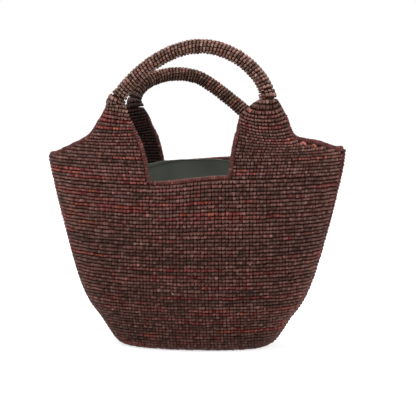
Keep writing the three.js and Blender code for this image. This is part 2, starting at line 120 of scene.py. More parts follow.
# How much of its edging's room each point of an edge makes, from the foot up
CUTOUT_INSET = (1, 1, 1, 1, 0.15, 0)
RIM_INSET = (1, 1, 0, 0)
CORNER_SHARE = 0.2  # up to here a tab's side edge runs beside the seam
CLOSING_SHARE = 0.3  # from here up its faces part to go round the neck
SHOULDER_POWER = 16  # the higher, the nearer to the neck it narrows
SIDE_TURN = math.radians(8)  # its edges lie this far round from where its faces would meet

# Handles: from the start neck to the end neck, leaning outward by lean at rest. The arch is highest
# at crown_share of its span. Each half leaves its neck upright by the share pull of the rise, and
# comes level by the share round before the crown. A handle's shade darkens all of it with painted
# shade.
FRONT_LEFT_NECK = np.array([-91.3, -60, 311])
FRONT_RIGHT_NECK = np.array([97, -62, 319])
BACK_LEFT_NECK = np.array([-88, 66, 306])
BACK_RIGHT_NECK = np.array([76, 104, 260])
HANDLES = {
    "front": {
        "side": FRONT, "start": FRONT_LEFT_NECK, "end": FRONT_RIGHT_NECK, "lean": math.radians(-8),
        "rise": 68.3, "crown_share": 0.555, "start_pull": 0.17, "start_round": 0.52,
        "end_pull": 0.4, "end_round": 0.55, "start_tab": "front_left", "end_tab": "front_right",
        "shade": 1.0,
    },
    "back": {
        "side": BACK, "start": BACK_RIGHT_NECK, "end": BACK_LEFT_NECK, "lean": math.radians(40),
        "rise": 57, "crown_share": 0.58, "start_pull": 0.13, "start_round": 0.22,
        "end_pull": 0.42, "end_round": 0.57, "start_tab": "back_right", "end_tab": "back_left",
        "shade": 0.58,
    },
}

# The crochet: single crochet worked in raffia
ROW_PITCH = 4.65
STITCH_WIDTH = 4.3
HANDLE_ROW_PITCH = 4.4
HANDLE_STITCHES = 12
ROUND_TWIST = 0.08  # each round of a handle or roll starts this share of a stitch further round
ROLL_STITCHES = 5
ROLL_PITCH = 3.1
ROLL_CORE_SHARE = 0.72  # size of the core seen between a roll's stitches
# the core between a roll's stitches is painted dark with shade, at this share of the light
ROLL_CORE_DYE, ROLL_CORE_LIGHT = 0.6, 0.4
ROLL_RED = 0.25  # more of the strands are red in the edging
STITCH_LIFT = 0.6  # the tops of the stitches stand a little proud of the construction's plain shell
BACKING_DEPTH = 2.3  # the fabric seen between stitches, painted dark with shade, lies this deep
STREAK_STITCHES = (5, 26)  # one strand of raffia lasts this many stitches before the next is joined


def lerp(low, high, share):
    return low + (high - low) * share


def smoothstep(value, low, high):
    share = np.clip((value - low) / (high - low), 0, 1)
    return share * share * (3 - 2 * share)


def unit(vectors):
    length = np.linalg.norm(vectors, axis=-1, keepdims=True)
    return vectors / np.maximum(length, 1e-9)


def dot(first, second):
    return np.sum(first * second, axis=-1, keepdims=True)


def run_along(path):
    """The distance of each point of a path from its start."""
    return np.concatenate([[0], np.cumsum(np.linalg.norm(np.diff(path, axis=0), axis=1))])


def points_at(places, run, path):
    """The points of a path, or other values along it, at some distances from its start."""
    return np.stack([np.interp(places, run, column) for column in path.T], axis=-1)


# The wall as a surface

def cubic(p1, p2, leaving, arriving, t):
    """Points of the cubic curve from p1 to p2 with these slopes at its ends."""
    square = -3 * p1 + 3 * p2 - 2 * leaving - arriving
    cube = 2 * p1 - 2 * p2 + leaving + arriving
    return p1 + leaving * t + square * t**2 + cube * t**3


def centripetal_curve(points, shares):
    """Points of the centripetal Catmull-Rom curve through points, at shares of its length in spans."""
    points = np.asarray(points, float)
    ends = np.array([2 * points[0] - points[1], 2 * points[-1] - points[-2]])
    padded = np.vstack([ends[:1], points, ends[1:]])
    place = np.clip(shares, 0, 1) * (len(points) - 1)
    span = np.minimum(place.astype(int), len(points) - 2)
    p0, p1, p2, p3 = (padded[span + step] for step in range(4))
    steps = (p1 - p0, p2 - p1, p3 - p2)
    d0, d1, d2 = (np.sqrt(np.linalg.norm(step, axis=1))[:, None] for step in steps)
    leaving = ((p1 - p0) / d0 - (p2 - p0) / (d0 + d1) + (p2 - p1) / d1) * d1
    arriving = ((p2 - p1) / d1 - (p3 - p1) / (d1 + d2) + (p3 - p2) / d2) * d1
    return cubic(p1, p2, leaving, arriving, (place - span)[:, None])


def even_spline(points, shares):
    """Points of the even Catmull-Rom spline through points, whose end points repeat."""
    points = np.asarray(points, float)
    last = len(points) - 1
    place = np.clip(np.asarray(shares, float), 0, 1) * last
    span = np.minimum(place.astype(int), last - 1)
    p0, p1, p2, p3 = (points[np.clip(span + step, 0, last)] for step in (-1, 0, 1, 2))
    return cubic(p1, p2, (p2 - p0) / 2, (p3 - p1) / 2, (place - span)[..., None])


OUTLINE_SAMPLES = 1600
outline = centripetal_curve(
    [
        (
            lerp(BASE_HALF_WIDTH, RIM_HALF_WIDTH, width),
            lerp(BASE_HALF_DEPTH, RIM_HALF_DEPTH, depth),
            height * RIM_HEIGHT,
        )
        for height, width, depth in WALL_OUTLINE
    ],
    np.linspace(0, 1, OUTLINE_SAMPLES),
)
outline_slope = np.gradient(outline, axis=0)
outline_flare = np.arctan2((outline_slope[:, 0] + outline_slope[:, 1]) / 2, outline_slope[:, 2])


def outline_at(height):
    """Half width, half depth and outward slope of the wall at a height."""
    return (np.interp(height, outline[:, 2], column) for column in (*outline.T[:2], outline_flare))


def depth_exponent(height):
    return 2 / lerp(BASE_SQUARENESS, RIM_SQUARENESS, smoothstep(height, 0, RIM_HEIGHT))


def wall_point(side, angle, height, depth):
    """A point of the wall. The angle is 0 in the middle and a quarter turn at the right corner."""
    half_width, half_depth, flare = outline_at(height)
    half_width = half_width - depth * CORNER_WALL_SHARE * np.cos(flare)
    half_depth = half_depth - depth * np.cos(flare)
    across = half_width * np.sin(angle)
    through = side * half_depth * np.maximum(np.cos(angle), 0) ** depth_exponent(height)
    return np.stack(np.broadcast_arrays(across, through, height + depth * np.sin(flare)), axis=-1)


def angle_beside_corner(height, distance):
    _, half_depth, _ = outline_at(height)
    return np.arccos((distance / half_depth) ** (1 / depth_exponent(height)))


def angle_across(distance, height):
    """The angle at which the wall is this distance from the middle."""
    return np.arcsin(np.minimum(distance / next(outline_at(height)), 1))


def row_height(side, angle):
    """Height of the row where a wall ends and its tabs begin, under the cut-out's edging."""
    turn = np.clip(angle / CUTOUT_HALF_ANGLE, -1, 1)
    return CUTOUT_HEIGHT[side] - EDGING_ROOM + CUTOUT_RISE[side] * np.sin(turn * math.pi / 2)


PANEL_EDGE_ANGLE = angle_beside_corner(CUTOUT_HEIGHT[FRONT], SEAM_ROOM)


# Tabs as surfaces: across is 0 at the side of the bag and 1 at the cut-out, up is 0 at the row
# and 1 at the neck

def handle_frame(handle):
    """Directions along, inward and up of an upright handle, and the foot of its fold line."""
    along = unit(handle["end"] - handle["start"])
    inward = np.array([0, -handle["side"], 0], float)
    inward = unit(inward - along * (inward @ along))
    upward = np.cross(along, inward)
    return along, inward, upward, handle["start"] - inward * HANDLE_RADIUS


def cutout_edge(tab, up):
    points = [
        (distance + EDGING_ROOM * inset, CUTOUT_HEIGHT[tab["side"]] + rise)
        for (distance, rise), inset in zip(tab["cutout_edge"], CUTOUT_INSET)
    ]
    edge = even_spline(points, up)
    foot = row_height(tab["side"], tab["hand"] * np.arcsin(edge[..., 0] / RIM_HALF_WIDTH)) + SEAT_GAP
    edge[..., 1] = lerp(foot, edge[..., 1], smoothstep(np.asarray(up), 0, CORNER_SHARE))
    return edge


def corner_place(height):
    half_width, _, _ = outline_at(height)
    return np.stack([half_width * np.sin(angle_beside_corner(height, SEAM_ROOM)), height], axis=-1)


def rim_edge(tab, up):
    up = np.asarray(up, float)
    corner_top = CORNER_HEIGHT[tab["hand"]] - EDGING_ROOM
    foot = row_height(tab["side"], tab["hand"] * PANEL_EDGE_ANGLE) + SEAT_GAP
    beside_seam = corner_place(lerp(foot, corner_top, np.clip(up / CORNER_SHARE, 0, 1)))
    points = [
        (distance, CUTOUT_HEIGHT[tab["side"]] + rise - EDGING_ROOM * inset)
        for (distance, rise), inset in zip(tab["rim_edge"], RIM_INSET)
    ]
    points = [tuple(corner_place(np.float64(corner_top)))] + points
    sloping = even_spline(points, (up - CORNER_SHARE) / (1 - CORNER_SHARE))
    return np.where((up <= CORNER_SHARE)[..., None], beside_seam, sloping)


def tab_wall(tab, across, up, depth):
    """The tab as if it only followed the wall, puffed out in its middle."""
    side, hand = tab["side"], tab["hand"]
    ends = [rim_edge(tab, up), cutout_edge(tab, up)]
    angles = [angle_across(end[..., 0], end[..., 1]) for end in ends]
    height = lerp(ends[0][..., 1], ends[1][..., 1], across)
    point = wall_point(side, hand * lerp(*angles, across), height, depth)
    point[..., 1] += side * tab["puff"] * np.sin(math.pi * up) * np.sin(math.pi * across)
    return point


def tab_face(tab, across, up, inner):
    """The tab's outer or inner face, which closes into a round neck under its handle."""
    across, up = np.broadcast_arrays(np.asarray(across, float), np.asarray(up, float))
    handle = HANDLES[SIDE_NAMES[tab["side"]]]
    along, inward, _, _ = handle_frame(handle)
    at_start = np.sign(handle["start"][0]) == tab["hand"]
    neck = handle["start"] if at_start else handle["end"]
    away = -1 if at_start else 1

    def both_edges(up):
        """The middle of the fabric at the tab's side edge and at its cut-out edge."""
        return (tab_wall(tab, np.full_like(up, edge), up, WALL_THICKNESS / 2) for edge in (0, 1))

    from_side, to_cutout = both_edges(up)
    side_top, cutout_top = both_edges(np.ones(1))
    shift = neck - (side_top[0] + cutout_top[0]) / 2
    closing = smoothstep(up, CLOSING_SHARE, 1)[..., None]
    turn = lerp(SIDE_TURN, math.pi - SIDE_TURN, across)[..., None]
    through_share = (1 if inner else -1) * np.sin(turn)
    neck_half_width = along * away * HANDLE_RADIUS * (1 + tab["flare"])
    half_width = lerp((from_side - to_cutout) / 2, neck_half_width, up[..., None] ** SHOULDER_POWER)
    half_thickness = lerp(WALL_THICKNESS / 2, HANDLE_RADIUS, closing)
    closed = (from_side + to_cutout) / 2 + half_width * np.cos(turn)
    closed = closed + inward * half_thickness * through_share
    flat = tab_wall(tab, across, up, WALL_THICKNESS if inner else 0)
    return lerp(flat, closed, closing) + shift * up[..., None] ** 2


# Stitches: rows of them between two edge lines, each stitch two plump lobes that lean apart

LOBE_SIDES = 5
LOBE_RING = 0.2  # how far a lobe's two rings lie from its middle, as a share of the row pitch
LOBE_TIP = 0.52  # and its tips
LOBE_OFFSET = 0.2  # from the stitch's middle to a lobe's, as a share of the stitch's width
LOBE_LEAN = 0.16  # lean of a lobe across its height, in the same share
LOBE_HALF_WIDTH = 0.24  # in the same share
LOBE_HALF_DEPTH = 1.7
LIGHT_UNTIL, DARK_FROM = 0.22, 0.46  # painted shade darkens a stitch between these distances from its middle
CREASE_SHADE = 0.85  # painted shade in the crease between the two lobes
GREATEST_SEED = 900  # each stitch has ribs of its own
PLAIN_RIBS = 10  # ribs are this much longer on what isn't a stitch


def lobe_template(tip_sink, tip_shade, flank_shade):
    """Points (across, up, out) of the two lobes of a stitch, the painted light on each, and their faces.

    The lobes' tips lie deeper than their middle by tip_sink. They are tucked under the next row and
    keep painted shade by tip_shade, as the stitch's flanks do by flank_shade.
    """
    points, shades = [], []
    for sign in (-1, 1):
        for v in (-LOBE_TIP, -LOBE_RING, LOBE_RING, LOBE_TIP):
            centre = sign * (LOBE_OFFSET + LOBE_LEAN * v)
            if abs(v) == LOBE_TIP:
                points.append((centre, v, -tip_sink))
                shades.append(tip_shade)
                continue
            sink = tip_sink * (v / LOBE_TIP) ** 2
            for side in range(LOBE_SIDES):
                angle = 2 * math.pi * side / LOBE_SIDES
                across = centre + LOBE_HALF_WIDTH * math.sin(angle)
                points.append((across, v, LOBE_HALF_DEPTH * math.cos(angle) - sink))
                flank = lerp(1, flank_shade, float(smoothstep(abs(across), LIGHT_UNTIL, DARK_FROM)))
                shades.append(flank * lerp(CREASE_SHADE, 1, max(math.cos(angle), 0)))
    faces = []
    per_lobe = len(points) // 2
    for first in (0, per_lobe):
        low, high, last = first + 1, first + 1 + LOBE_SIDES, first + per_lobe - 1
        for side in range(LOBE_SIDES):
            following = (side + 1) % LOBE_SIDES
            faces.append((first, low + side, low + following))
            faces.append((low + side, high + side, high + following, low + following))
            faces.append((last, high + following, high + side))
    return np.array(points), np.array(shades), faces


WALL_STITCH = lobe_template(tip_sink=1.0, tip_shade=0.2, flank_shade=0.64)
HANDLE_STITCH = lobe_template(tip_sink=-0.4, tip_shade=0.08, flank_shade=0.32)
EDGING_STITCH = lobe_template(tip_sink=-0.7, tip_shade=0.4, flank_shade=0.5)


def add_object(name, data):
    thing = bpy.data.objects.new(name, data)
    bpy.context.scene.collection.objects.link(thing)
    return thing


def grid_faces(index):
    low, high = index[:-1], index[1:]
    corners = np.stack([low[:, :-1], low[:, 1:], high[:, 1:], high[:, :-1]], axis=-1)
    return [tuple(face) for face in corners.reshape(-1, 4).tolist()]


class Fabric:
    """Collects the backing and the stitches of one piece, with each point's dye, painted light and fibre."""

    def __init__(self):
        self.points, self.faces, self.slots = [], [], []
        self.dye, self.light, self.fibre = [], [], []
        self.count = 0

    def add(self, points, faces, slot=0, dye=0.0, light=1.0, fibre=None):
        points = np.asarray(points, float).reshape(-1, 3)
        self.points.append(points)
        self.faces.extend(tuple(corner + self.count for corner in face) for face in faces)
        self.slots.append(np.full(len(faces), slot))
        self.dye.append(np.broadcast_to(dye, len(points)))
        self.light.append(np.broadcast_to(light, len(points)))
        self.fibre.append(points / PLAIN_RIBS if fibre is None else fibre)
        self.count += len(points)

    def stitches(self, stitch, centres, across, up, out, dye, light):
        """Adds a stitch at each centre. across, up and out are its sides as vectors."""
        template, shades, stitch_faces = stitch
        places = (
            centres[:, None]
            + template[:, :1] * across[:, None]
            + template[:, 1:2] * up[:, None]
            + (template[:, 2:] - LOBE_HALF_DEPTH) * out[:, None]
        )
        width, height = (np.linalg.norm(side, axis=1)[:, None] for side in (across, up))
        seeds = rng.uniform(0, GREATEST_SEED, (len(centres), 1))
        fibre = [template[:, 0] * width, template[:, 1] * height, seeds + template[:, 2]]
        fibre = np.stack(fibre, axis=-1).reshape(-1, 3)
        faces = [
            tuple(corner + number * len(template) for corner in face)
            for number in range(len(centres))
            for face in stitch_faces
        ]
        dyes = np.repeat(dye, len(template))
        self.add(places, faces, 1, dyes, (light[:, None] * shades).ravel(), fibre)

    def shell(self, outer, inner, light=1.0):
        """Adds a closed sheet between two grids of points of the same size."""
        rows, columns = outer.shape[:2]
        index = np.arange(rows * columns).reshape(rows, columns)
        below = index + rows * columns
        faces = grid_faces(index) + [face[::-1] for face in grid_faces(below)]
        rim = np.concatenate([index[0], index[1:, -1], index[-1, -2::-1], index[-2:0:-1, 0]])
        for corner, following in zip(rim, np.roll(rim, -1)):
            faces.append((following, corner, corner + rows * columns, following + rows * columns))
        self.add(np.concatenate([outer.reshape(-1, 3), inner.reshape(-1, 3)]), faces, light=light)

    def rod(self, rings, slot=0, dye=0.5, light=0.5):
        """Adds a closed rod through rings of points."""
        count, sides = rings.shape[:2]
        index = np.arange(count * sides).reshape(count, sides)
        index = np.concatenate([index, index[:, :1]], axis=1)
        faces = grid_faces(index) + [tuple(index[0, :-1][::-1]), tuple(index[-1, :-1])]
        self.add(rings, faces, slot, dye, light)

    def build(self, name, materials):
        mesh = bpy.data.meshes.new(name)
        mesh.from_pydata((np.concatenate(self.points) * MM).tolist(), [], self.faces)
        mesh.polygons.foreach_set("material_index", np.concatenate(self.slots).astype(np.int32))
        for label, kind, field, values in (
            ("dye", "FLOAT", "value", self.dye),
            ("light", "FLOAT", "value", self.light),
            ("fibre", "FLOAT_VECTOR", "vector", self.fibre),
        ):
            attribute = mesh.attributes.new(label, kind, "POINT")
            attribute.data.foreach_set(field, np.concatenate(values).astype(np.float32).ravel())
        for material in materials:
            mesh.materials.append(material)
        mesh.shade_smooth()
        mesh.validate()
        return add_object(name, mesh)


# Dye: how the colours of the strands run along the rows, and the light painted on the stitches

BAND_HEIGHTS = (0, 60, 130, 180, 196, 214, 232, 330, 400)  # heights where the mix is set
BAND_REDNESS = (0.05, 0.08, 0.14, 0.22, 0.34, 0.26, 0.16, 0.16, 0.16)  # share of red strands there
# painted light: stitches are painted darker towards the foot and lighter higher up
PAINTED_BAND_LIGHT = (0.86, 0.9, 0.96, 1.02, 1.06, 1.06, 1.08, 1.12, 1.12)
HIGHLIGHT_SHARE = 0.04  # share of the stitches that get a painted highlight
HIGHLIGHT_GAIN = (0.3, 0.9)  # how much lighter the painted highlight makes them
ORANGE_SHARE = 0.014
ORANGE_STITCHES = 5  # an orange strand shows for no more stitches than this
BROWN_DYE, RED_DYE, ORANGE_DYE = (0.16, 0.5), (0.56, 0.76), (0.84, 0.92)  # places in the dyes' ramp
DYE_SPREAD = 0.12
LIGHT_SPREAD = 0.26
LIGHT_LIMITS = (0.5, 1.7)  # no stitch is darker or lighter than these shares

# How uneven the stitches are: their place along the row, size and place across the row as shares of
# their size, then lift and lean as distances
PLACE_SPREAD = 0.1
SIZE_SPREAD = 0.05
RISE_SPREAD = 0.035
LIFT_SPREAD = 0.15
LEAN_SPREAD = 0.6
DIRECTION_STEP = 1.0  # a row's direction is taken over this distance at most, either way
WALL_LEAN = 0.9  # the tops of a wall's stitches lie this far along the row from their feet
EVEN_STITCH_POWER = 8  # the higher, the nearer to a row's ends its odd stitches are


def strand_dye(count, height, red):
    """Dye of each stitch of a row: one value for each strand, with a little spread inside it."""
    redness = np.interp(height, BAND_HEIGHTS, BAND_REDNESS) + red
    dye = np.empty(count)
    place = -rng.integers(0, STREAK_STITCHES[0])
    while place < count:
        length = rng.integers(*STREAK_STITCHES)
        kind = rng.uniform()
        if kind < redness:
            value = rng.uniform(*RED_DYE)
        elif kind < redness + ORANGE_SHARE:
            value = rng.uniform(*ORANGE_DYE)
            length = min(length, ORANGE_STITCHES)
        else:
            value = rng.uniform(*BROWN_DYE)
        dye[max(place, 0):max(place + length, 0)] = value
        place += length
    return np.clip(dye + rng.normal(0, DYE_SPREAD, count), 0, ORANGE_DYE[1])


# Each stitch's light: its own tone, which differs at random, times painted light by height, plus painted
# highlights
def strand_light(count, height, beads):
    light = np.interp(height, BAND_HEIGHTS, PAINTED_BAND_LIGHT)
    light = light * np.clip(rng.normal(1, LIGHT_SPREAD, count), *LIGHT_LIMITS)
    return light + (rng.uniform(size=count) < beads) * rng.uniform(*HIGHLIGHT_GAIN, count)


def stitch_places(total):
    """Distances along a row of its stitches, which stand above each other from row to row.

    They keep their width from the row's middle outwards, and the outer ones stretch to fit.
    """
    half = total / 2
    per_side = max(int(round(half / STITCH_WIDTH)), 1)
    share = (np.arange(per_side) + 0.5) / per_side
    power = min(max(per_side / 3, 1), EVEN_STITCH_POWER)
    spread = share * per_side * STITCH_WIDTH + (half - per_side * STITCH_WIDTH) * share**power
    return half + np.concatenate([-spread[::-1], spread])


def add_row(
    fabric, low, high, outward, closed=False, count=None, start=None, shine=1.0, painted_top_light=0.0, red=0.0,
    lift=STITCH_LIFT, beads=HIGHLIGHT_SHARE, stitch=WALL_STITCH, lean=0.0,
):
    """Adds a row of stitches between two edge lines of equally many points.

    Stitches that face up are painted lighter by a given share, a given share of them gets a painted
    highlight, and all their painted light is scaled by a given factor of painted shade. A closed row
    has its first stitch at start, and may have a set count of them. Stitches lean along the row by
    the distance lean, each a little differently.
    """
    middle = (low + high) / 2
    run = run_along(middle)
    if closed:
        count = count or max(int(round(run[-1] / STITCH_WIDTH)), 1)
        start = rng.uniform() if start is None else start % 1
        places = (np.arange(count) + start) / count * run[-1]
    else:
        places = stitch_places(run[-1])
        count = len(places)
        places = places + rng.uniform(-PLACE_SPREAD, PLACE_SPREAD, count) * STITCH_WIDTH

    def uneven(value, spread):
        return rng.normal(value, spread, (count, 1))

    up = points_at(places, run, high) - points_at(places, run, low)
    step = min(run[-1] / count / 2, DIRECTION_STEP)
    tangent = unit(points_at(places + step, run, middle) - points_at(places - step, run, middle))
    up = up - tangent * dot(up, tangent)
    out = np.cross(tangent, up)
    out = unit(out * np.sign(dot(out, points_at(places, run, np.broadcast_to(outward, middle.shape)))))
    across = unit(np.cross(up, out)) * (run[-1] / count) * uneven(1, SIZE_SPREAD)
    centre = points_at(places, run, middle)
    centre = centre + up * uneven(0, RISE_SPREAD) + out * uneven(lift, LIFT_SPREAD)
    up = up * uneven(1, SIZE_SPREAD) + unit(across) * uneven(lean, LEAN_SPREAD)
    height = centre[:, 2].mean()
    # painted light: by height, painted highlights, a factor of painted shade and painted light on top
    light = strand_light(count, height, beads) * shine * (1 + painted_top_light * out[:, 2])
    fabric.stitches(stitch, centre, across, up, out, strand_dye(count, height, red), light)


def fabric_rows(fabric, lines, outward, **options):
    """Adds a row between each line of points and the next."""
    for number, (low, high) in enumerate(zip(lines, lines[1:])):
        facing = outward[number] if np.ndim(outward) == 3 else outward
        add_row(fabric, low, high, facing, **options)


# Walls and base

WALL_COLUMNS = 151
BACKING_STEP = 3  # the backing is drawn with every third column
ROW_EVENNESS = 4  # the higher, the sooner rows below the cut-out are level
ROW_WOBBLE = 0.42
WOBBLE_KNOTS = 30
FACING_DOWN = -0.3  # a wall faces outward and this much down


def height_rows():
    """Heights of the rows' edges in the middle of a wall, even along its outward slope."""
    slope = np.hypot(1, np.tan(outline_flare))
    heights = outline[:, 2]
    run = np.concatenate([[0], np.cumsum(np.diff(heights) * (slope[1:] + slope[:-1]) / 2)])
    total = np.interp(CUTOUT_HEIGHT[FRONT] - EDGING_ROOM, heights, run)
    count = int(round(total / ROW_PITCH))
    return np.interp(np.linspace(0, total, count + 1), run, heights)


def wall_lines(side, depth, rows, wobble=0.0):
    """Lines across a wall at each row's edge, from the left corner to the right one.

    Between the first line and the last they are as uneven as hand work, by wobble.
    """
    lines = []
    share = np.linspace(-1, 1, WALL_COLUMNS)
    knots = np.linspace(-1, 1, WOBBLE_KNOTS)
    top = row_height(side, share * PANEL_EDGE_ANGLE)
    for row in rows:
        height = row + (top - rows[-1]) * (row / rows[-1]) ** ROW_EVENNESS
        if wobble and 0 < row < rows[-1]:
            height = height + np.interp(share, knots, rng.normal(0, wobble, WOBBLE_KNOTS))
        lines.append(wall_point(side, share * angle_beside_corner(height, SEAM_ROOM), height, depth))
    return np.array(lines)


def make_wall(side, materials):
    rows = height_rows()
    fabric = Fabric()
    outer, inner = (
        wall_lines(side, depth, rows)[:, ::BACKING_STEP] for depth in (BACKING_DEPTH, WALL_THICKNESS)
    )
    fabric.shell(outer, inner)
    lines = wall_lines(side, 0, rows, ROW_WOBBLE)
    fabric_rows(fabric, lines, np.array([0, side, FACING_DOWN]), lean=WALL_LEAN)
    return fabric.build(f"{SIDE_NAMES[side]}_wall_crochet", materials)


BASE_THICKNESS = 4.0
BASE_LIFT = -0.8  # the stitches under the base are pressed flat by the floor
BASE_MIDDLE = 0.5  # the innermost ring of stitches stops this far from the middle
BASE_COLUMNS = 121


def oval(half_width, half_depth, height, count=BASE_COLUMNS):
    """A closed outline with the shape of the base."""
    angle = np.linspace(0, 2 * math.pi, count)
    depth = np.sign(np.cos(angle)) * np.abs(np.cos(angle)) ** depth_exponent(0)
    return np.stack([half_width * np.sin(angle), half_depth * depth, angle * 0 + height], axis=-1)


def base_oval(inset, height):
    return oval(BASE_HALF_WIDTH - inset, BASE_HALF_DEPTH - inset, height)


def make_base(materials):
    fabric = Fabric()
    fabric.rod(np.array([base_oval(SEAT_GAP, height)[:-1] for height in (BACKING_DEPTH, BASE_THICKNESS)]))
    insets = np.linspace(SEAT_GAP, BASE_HALF_DEPTH - BASE_MIDDLE, int(BASE_HALF_DEPTH // ROW_PITCH) + 1)
    lines = np.array([base_oval(inset, 0.0) for inset in insets])
    fabric_rows(fabric, lines, np.array([0, 0, -1]), closed=True, lift=BASE_LIFT)
    return fabric.build("base_crochet", materials)


# Tabs

TAB_COLUMNS = 41
TAB_STEPS = 81
TAB_ROW_PITCH = 5.6
ROW_NARROWING = 0.35  # rows are closer together by this share right under the neck
NARROWING_POWER = 4  # the higher, the fewer of them are
LONG_SIDE_SHARE = 0.75  # a low tab has more rows, for this share of the length of its side edge
SAG_GROWS, SAG_FADES = (0.15, 0.5), (0.8, 1)  # how far up the rows begin and stop to sag
SLANT_GROWS, SLANT_FADES = (0.55, 0.85), (0.9, 1)
DEEPEST_SHARE = 0.42  # the backing keeps to its own side of the tab's middle


def tab_rows(tab):
    """Where each row's edge crosses the tab: up for each column, level at the foot, even at the neck.

    Between rings_from and rings_full the level rows turn into rings square to the neck. The tab's top
    neck_rows belong to the neck, and bend with it. One row's edge ends right at the tab's side corner.
    """
    ups = np.linspace(0, 1, TAB_STEPS)
    columns = np.linspace(0, 1, TAB_COLUMNS)
    face = tab_face(tab, columns[:, None], ups[None, :], False)
    middle = face[TAB_COLUMNS // 2]
    run = run_along(middle)
    level = (face[..., 2] - face[:, :1, 2]) * run[-1] / (middle[-1, 2] - middle[0, 2])
    field = lerp(level, run[None, :], smoothstep(ups, tab["rings_from"], tab["rings_full"])[None, :])
    sagging = smoothstep(ups, *SAG_GROWS) * (1 - smoothstep(ups, *SAG_FADES))
    slanting = smoothstep(ups, *SLANT_GROWS) * (1 - smoothstep(ups, *SLANT_FADES))
    field = field + tab["sag"] * np.sin(math.pi * columns)[:, None] * sagging[None, :]
    field = field + tab["slant"] * (columns - 0.5)[:, None] * slanting[None, :]
    field = np.maximum.accumulate(field, axis=1) + ups[None, :] * 1e-6
    longest = max(run[-1], run_along(face[0])[-1] * LONG_SIDE_SHARE)
    share = np.linspace(0, 1, int(round(longest / TAB_ROW_PITCH)) + 1)
    edges = (share + ROW_NARROWING * share**NARROWING_POWER * (1 - share)) * run[-1]
    rows = np.array([[np.interp(edge, column, ups) for column in field] for edge in edges])
    at_corner = np.argmin(np.abs(rows[1:, 0] - CORNER_SHARE)) + 1
    rows[at_corner, 0] = CORNER_SHARE
    return rows, columns


def tab_lines(tab, rows, columns, inner, depth):
    """The rows' edge lines on one face of a tab, drawn in by depth towards the other face."""
    near, far = (tab_face(tab, columns[None, :], rows, is_inner) for is_inner in (inner, not inner))
    gap = np.linalg.norm(far - near, axis=-1, keepdims=True)
    drawn_in = (far - near) * np.minimum(depth / np.maximum(gap, 1e-6), DEEPEST_SHARE)
    return near + drawn_in, far - near


def both_faces(tab, rows, columns, depth):
    return (tab_lines(tab, rows, columns, inner, depth)[0] for inner in (False, True))


def make_tab(name, materials):
    tab = TABS[name]
    rows, columns = tab_rows(tab)
    rows = rows[:-tab["neck_rows"]]
    fabric = Fabric()
    fabric.shell(*both_faces(tab, rows, columns, BACKING_DEPTH))
    for inner in (False, True):
        lines, through = tab_lines(tab, rows, columns, inner, 0)
        fabric_rows(fabric, lines, -through, shine=tab["inside_shade"] if inner else 1.0)
    return fabric.build(f"{name}_tab_crochet", materials)


# Handles and necks

HANDLE_SAMPLES = 600
HANDLE_SIDES = 24
HANDLE_STEPS, NECK_STEPS = 90, 5
MIDDLE_RADIUS = 0.01  # a ring this small marks a handle's middle
NECK_ABOVE = 11.0  # how far up the handle its neck bends
BLEND_SHARE = 0.85  # a share of the neck above the tab
# painted shade at a neck fades out over this length along the handle
NECK_SHADE_LENGTH = 60.0
HANDLE_RED = -0.08  # fewer of the strands are red in the handles
# The handles get painted light on the stitches that face up, and painted highlights on more of them
HANDLE_ROWS = {"painted_top_light": 0.3, "beads": 0.14, "stitch": HANDLE_STITCH, "lift": 0.4}


def handle_path(handle):
    """The middle line of an upright handle in its own plane: distances along and up."""
    span = np.linalg.norm(handle["end"] - handle["start"])
    crown = span * handle["crown_share"]
    rise = handle["rise"]
    foot = SEAT_GAP / 2
    rising = [
        (0, foot), (0, rise * handle["start_pull"]), (crown * (1 - handle["start_round"]), rise),
        (crown, rise),
    ]
    falling = [
        (crown, rise), (crown + (span - crown) * handle["end_round"], rise),
        (span, rise * handle["end_pull"]), (span, foot),
    ]
    t = np.linspace(0, 1, HANDLE_SAMPLES)[:, None]
    weights = ((1 - t)**3, 3 * t * (1 - t)**2, 3 * t**2 * (1 - t), t**3)
    halves = [
        sum(np.array(point, float) * weight for point, weight in zip(points, weights))
        for points in (rising, falling)
    ]
    return np.concatenate([halves[0], halves[1][1:]])


def handle_length(handle):
    return run_along(handle_path(handle))[-1]


def leaned(points, handle, angle):
    """Points turned about a handle's fold line by an angle, or by an angle for each point."""
    along, _, _, foot = handle_frame(handle)
    away = points - foot
    cosine, sine = np.cos(angle), np.sin(angle)
    turned = away * cosine + np.cross(along, away) * sine + along * dot(away, along) * (1 - cosine)
    return foot + turned


def handle_rings(handle, places, radius, turns=None, flared=True):
    """Rings round an upright handle at distances along it, or one point of each ring at its turn."""
    along, inward, upward, foot = handle_frame(handle)
    path = handle_path(handle)
    run = run_along(path)
    flat = points_at(places, run, path)
    ahead = unit(points_at(places, run, np.gradient(path, axis=0)))
    centre = foot + inward * HANDLE_RADIUS + flat[..., :1] * along + flat[..., 1:] * upward
    outward = ahead[..., :1] * upward - ahead[..., 1:] * along
    if flared:
        for end, from_end in (("start_tab", places), ("end_tab", run[-1] - places)):
            tab = TABS[handle[end]]
            flare = tab["flare"] * (1 - smoothstep(from_end, 0, tab["flare_length"]))
            outward = outward * (1 + flare[..., None])
    angle = np.linspace(0, 2 * math.pi, HANDLE_SIDES + 1)
    if turns is None:
        centre, outward, angle = centre[:, None], outward[:, None], angle[None, :, None]
    else:
        angle = turns[..., None]
    return centre + outward * radius * np.sin(angle) - inward * radius * np.cos(angle)


def handle_shade(handle, place, total):
    """How light a handle is painted at a distance along it: painted shade all along, deeper near its necks.
    """
    shade = handle["shade"]
    for end, from_end in (("start_tab", place), ("end_tab", total - place)):
        shade *= lerp(TABS[handle[end]]["neck_shade"], 1, float(smoothstep(from_end, 0, NECK_SHADE_LENGTH)))
    return shade


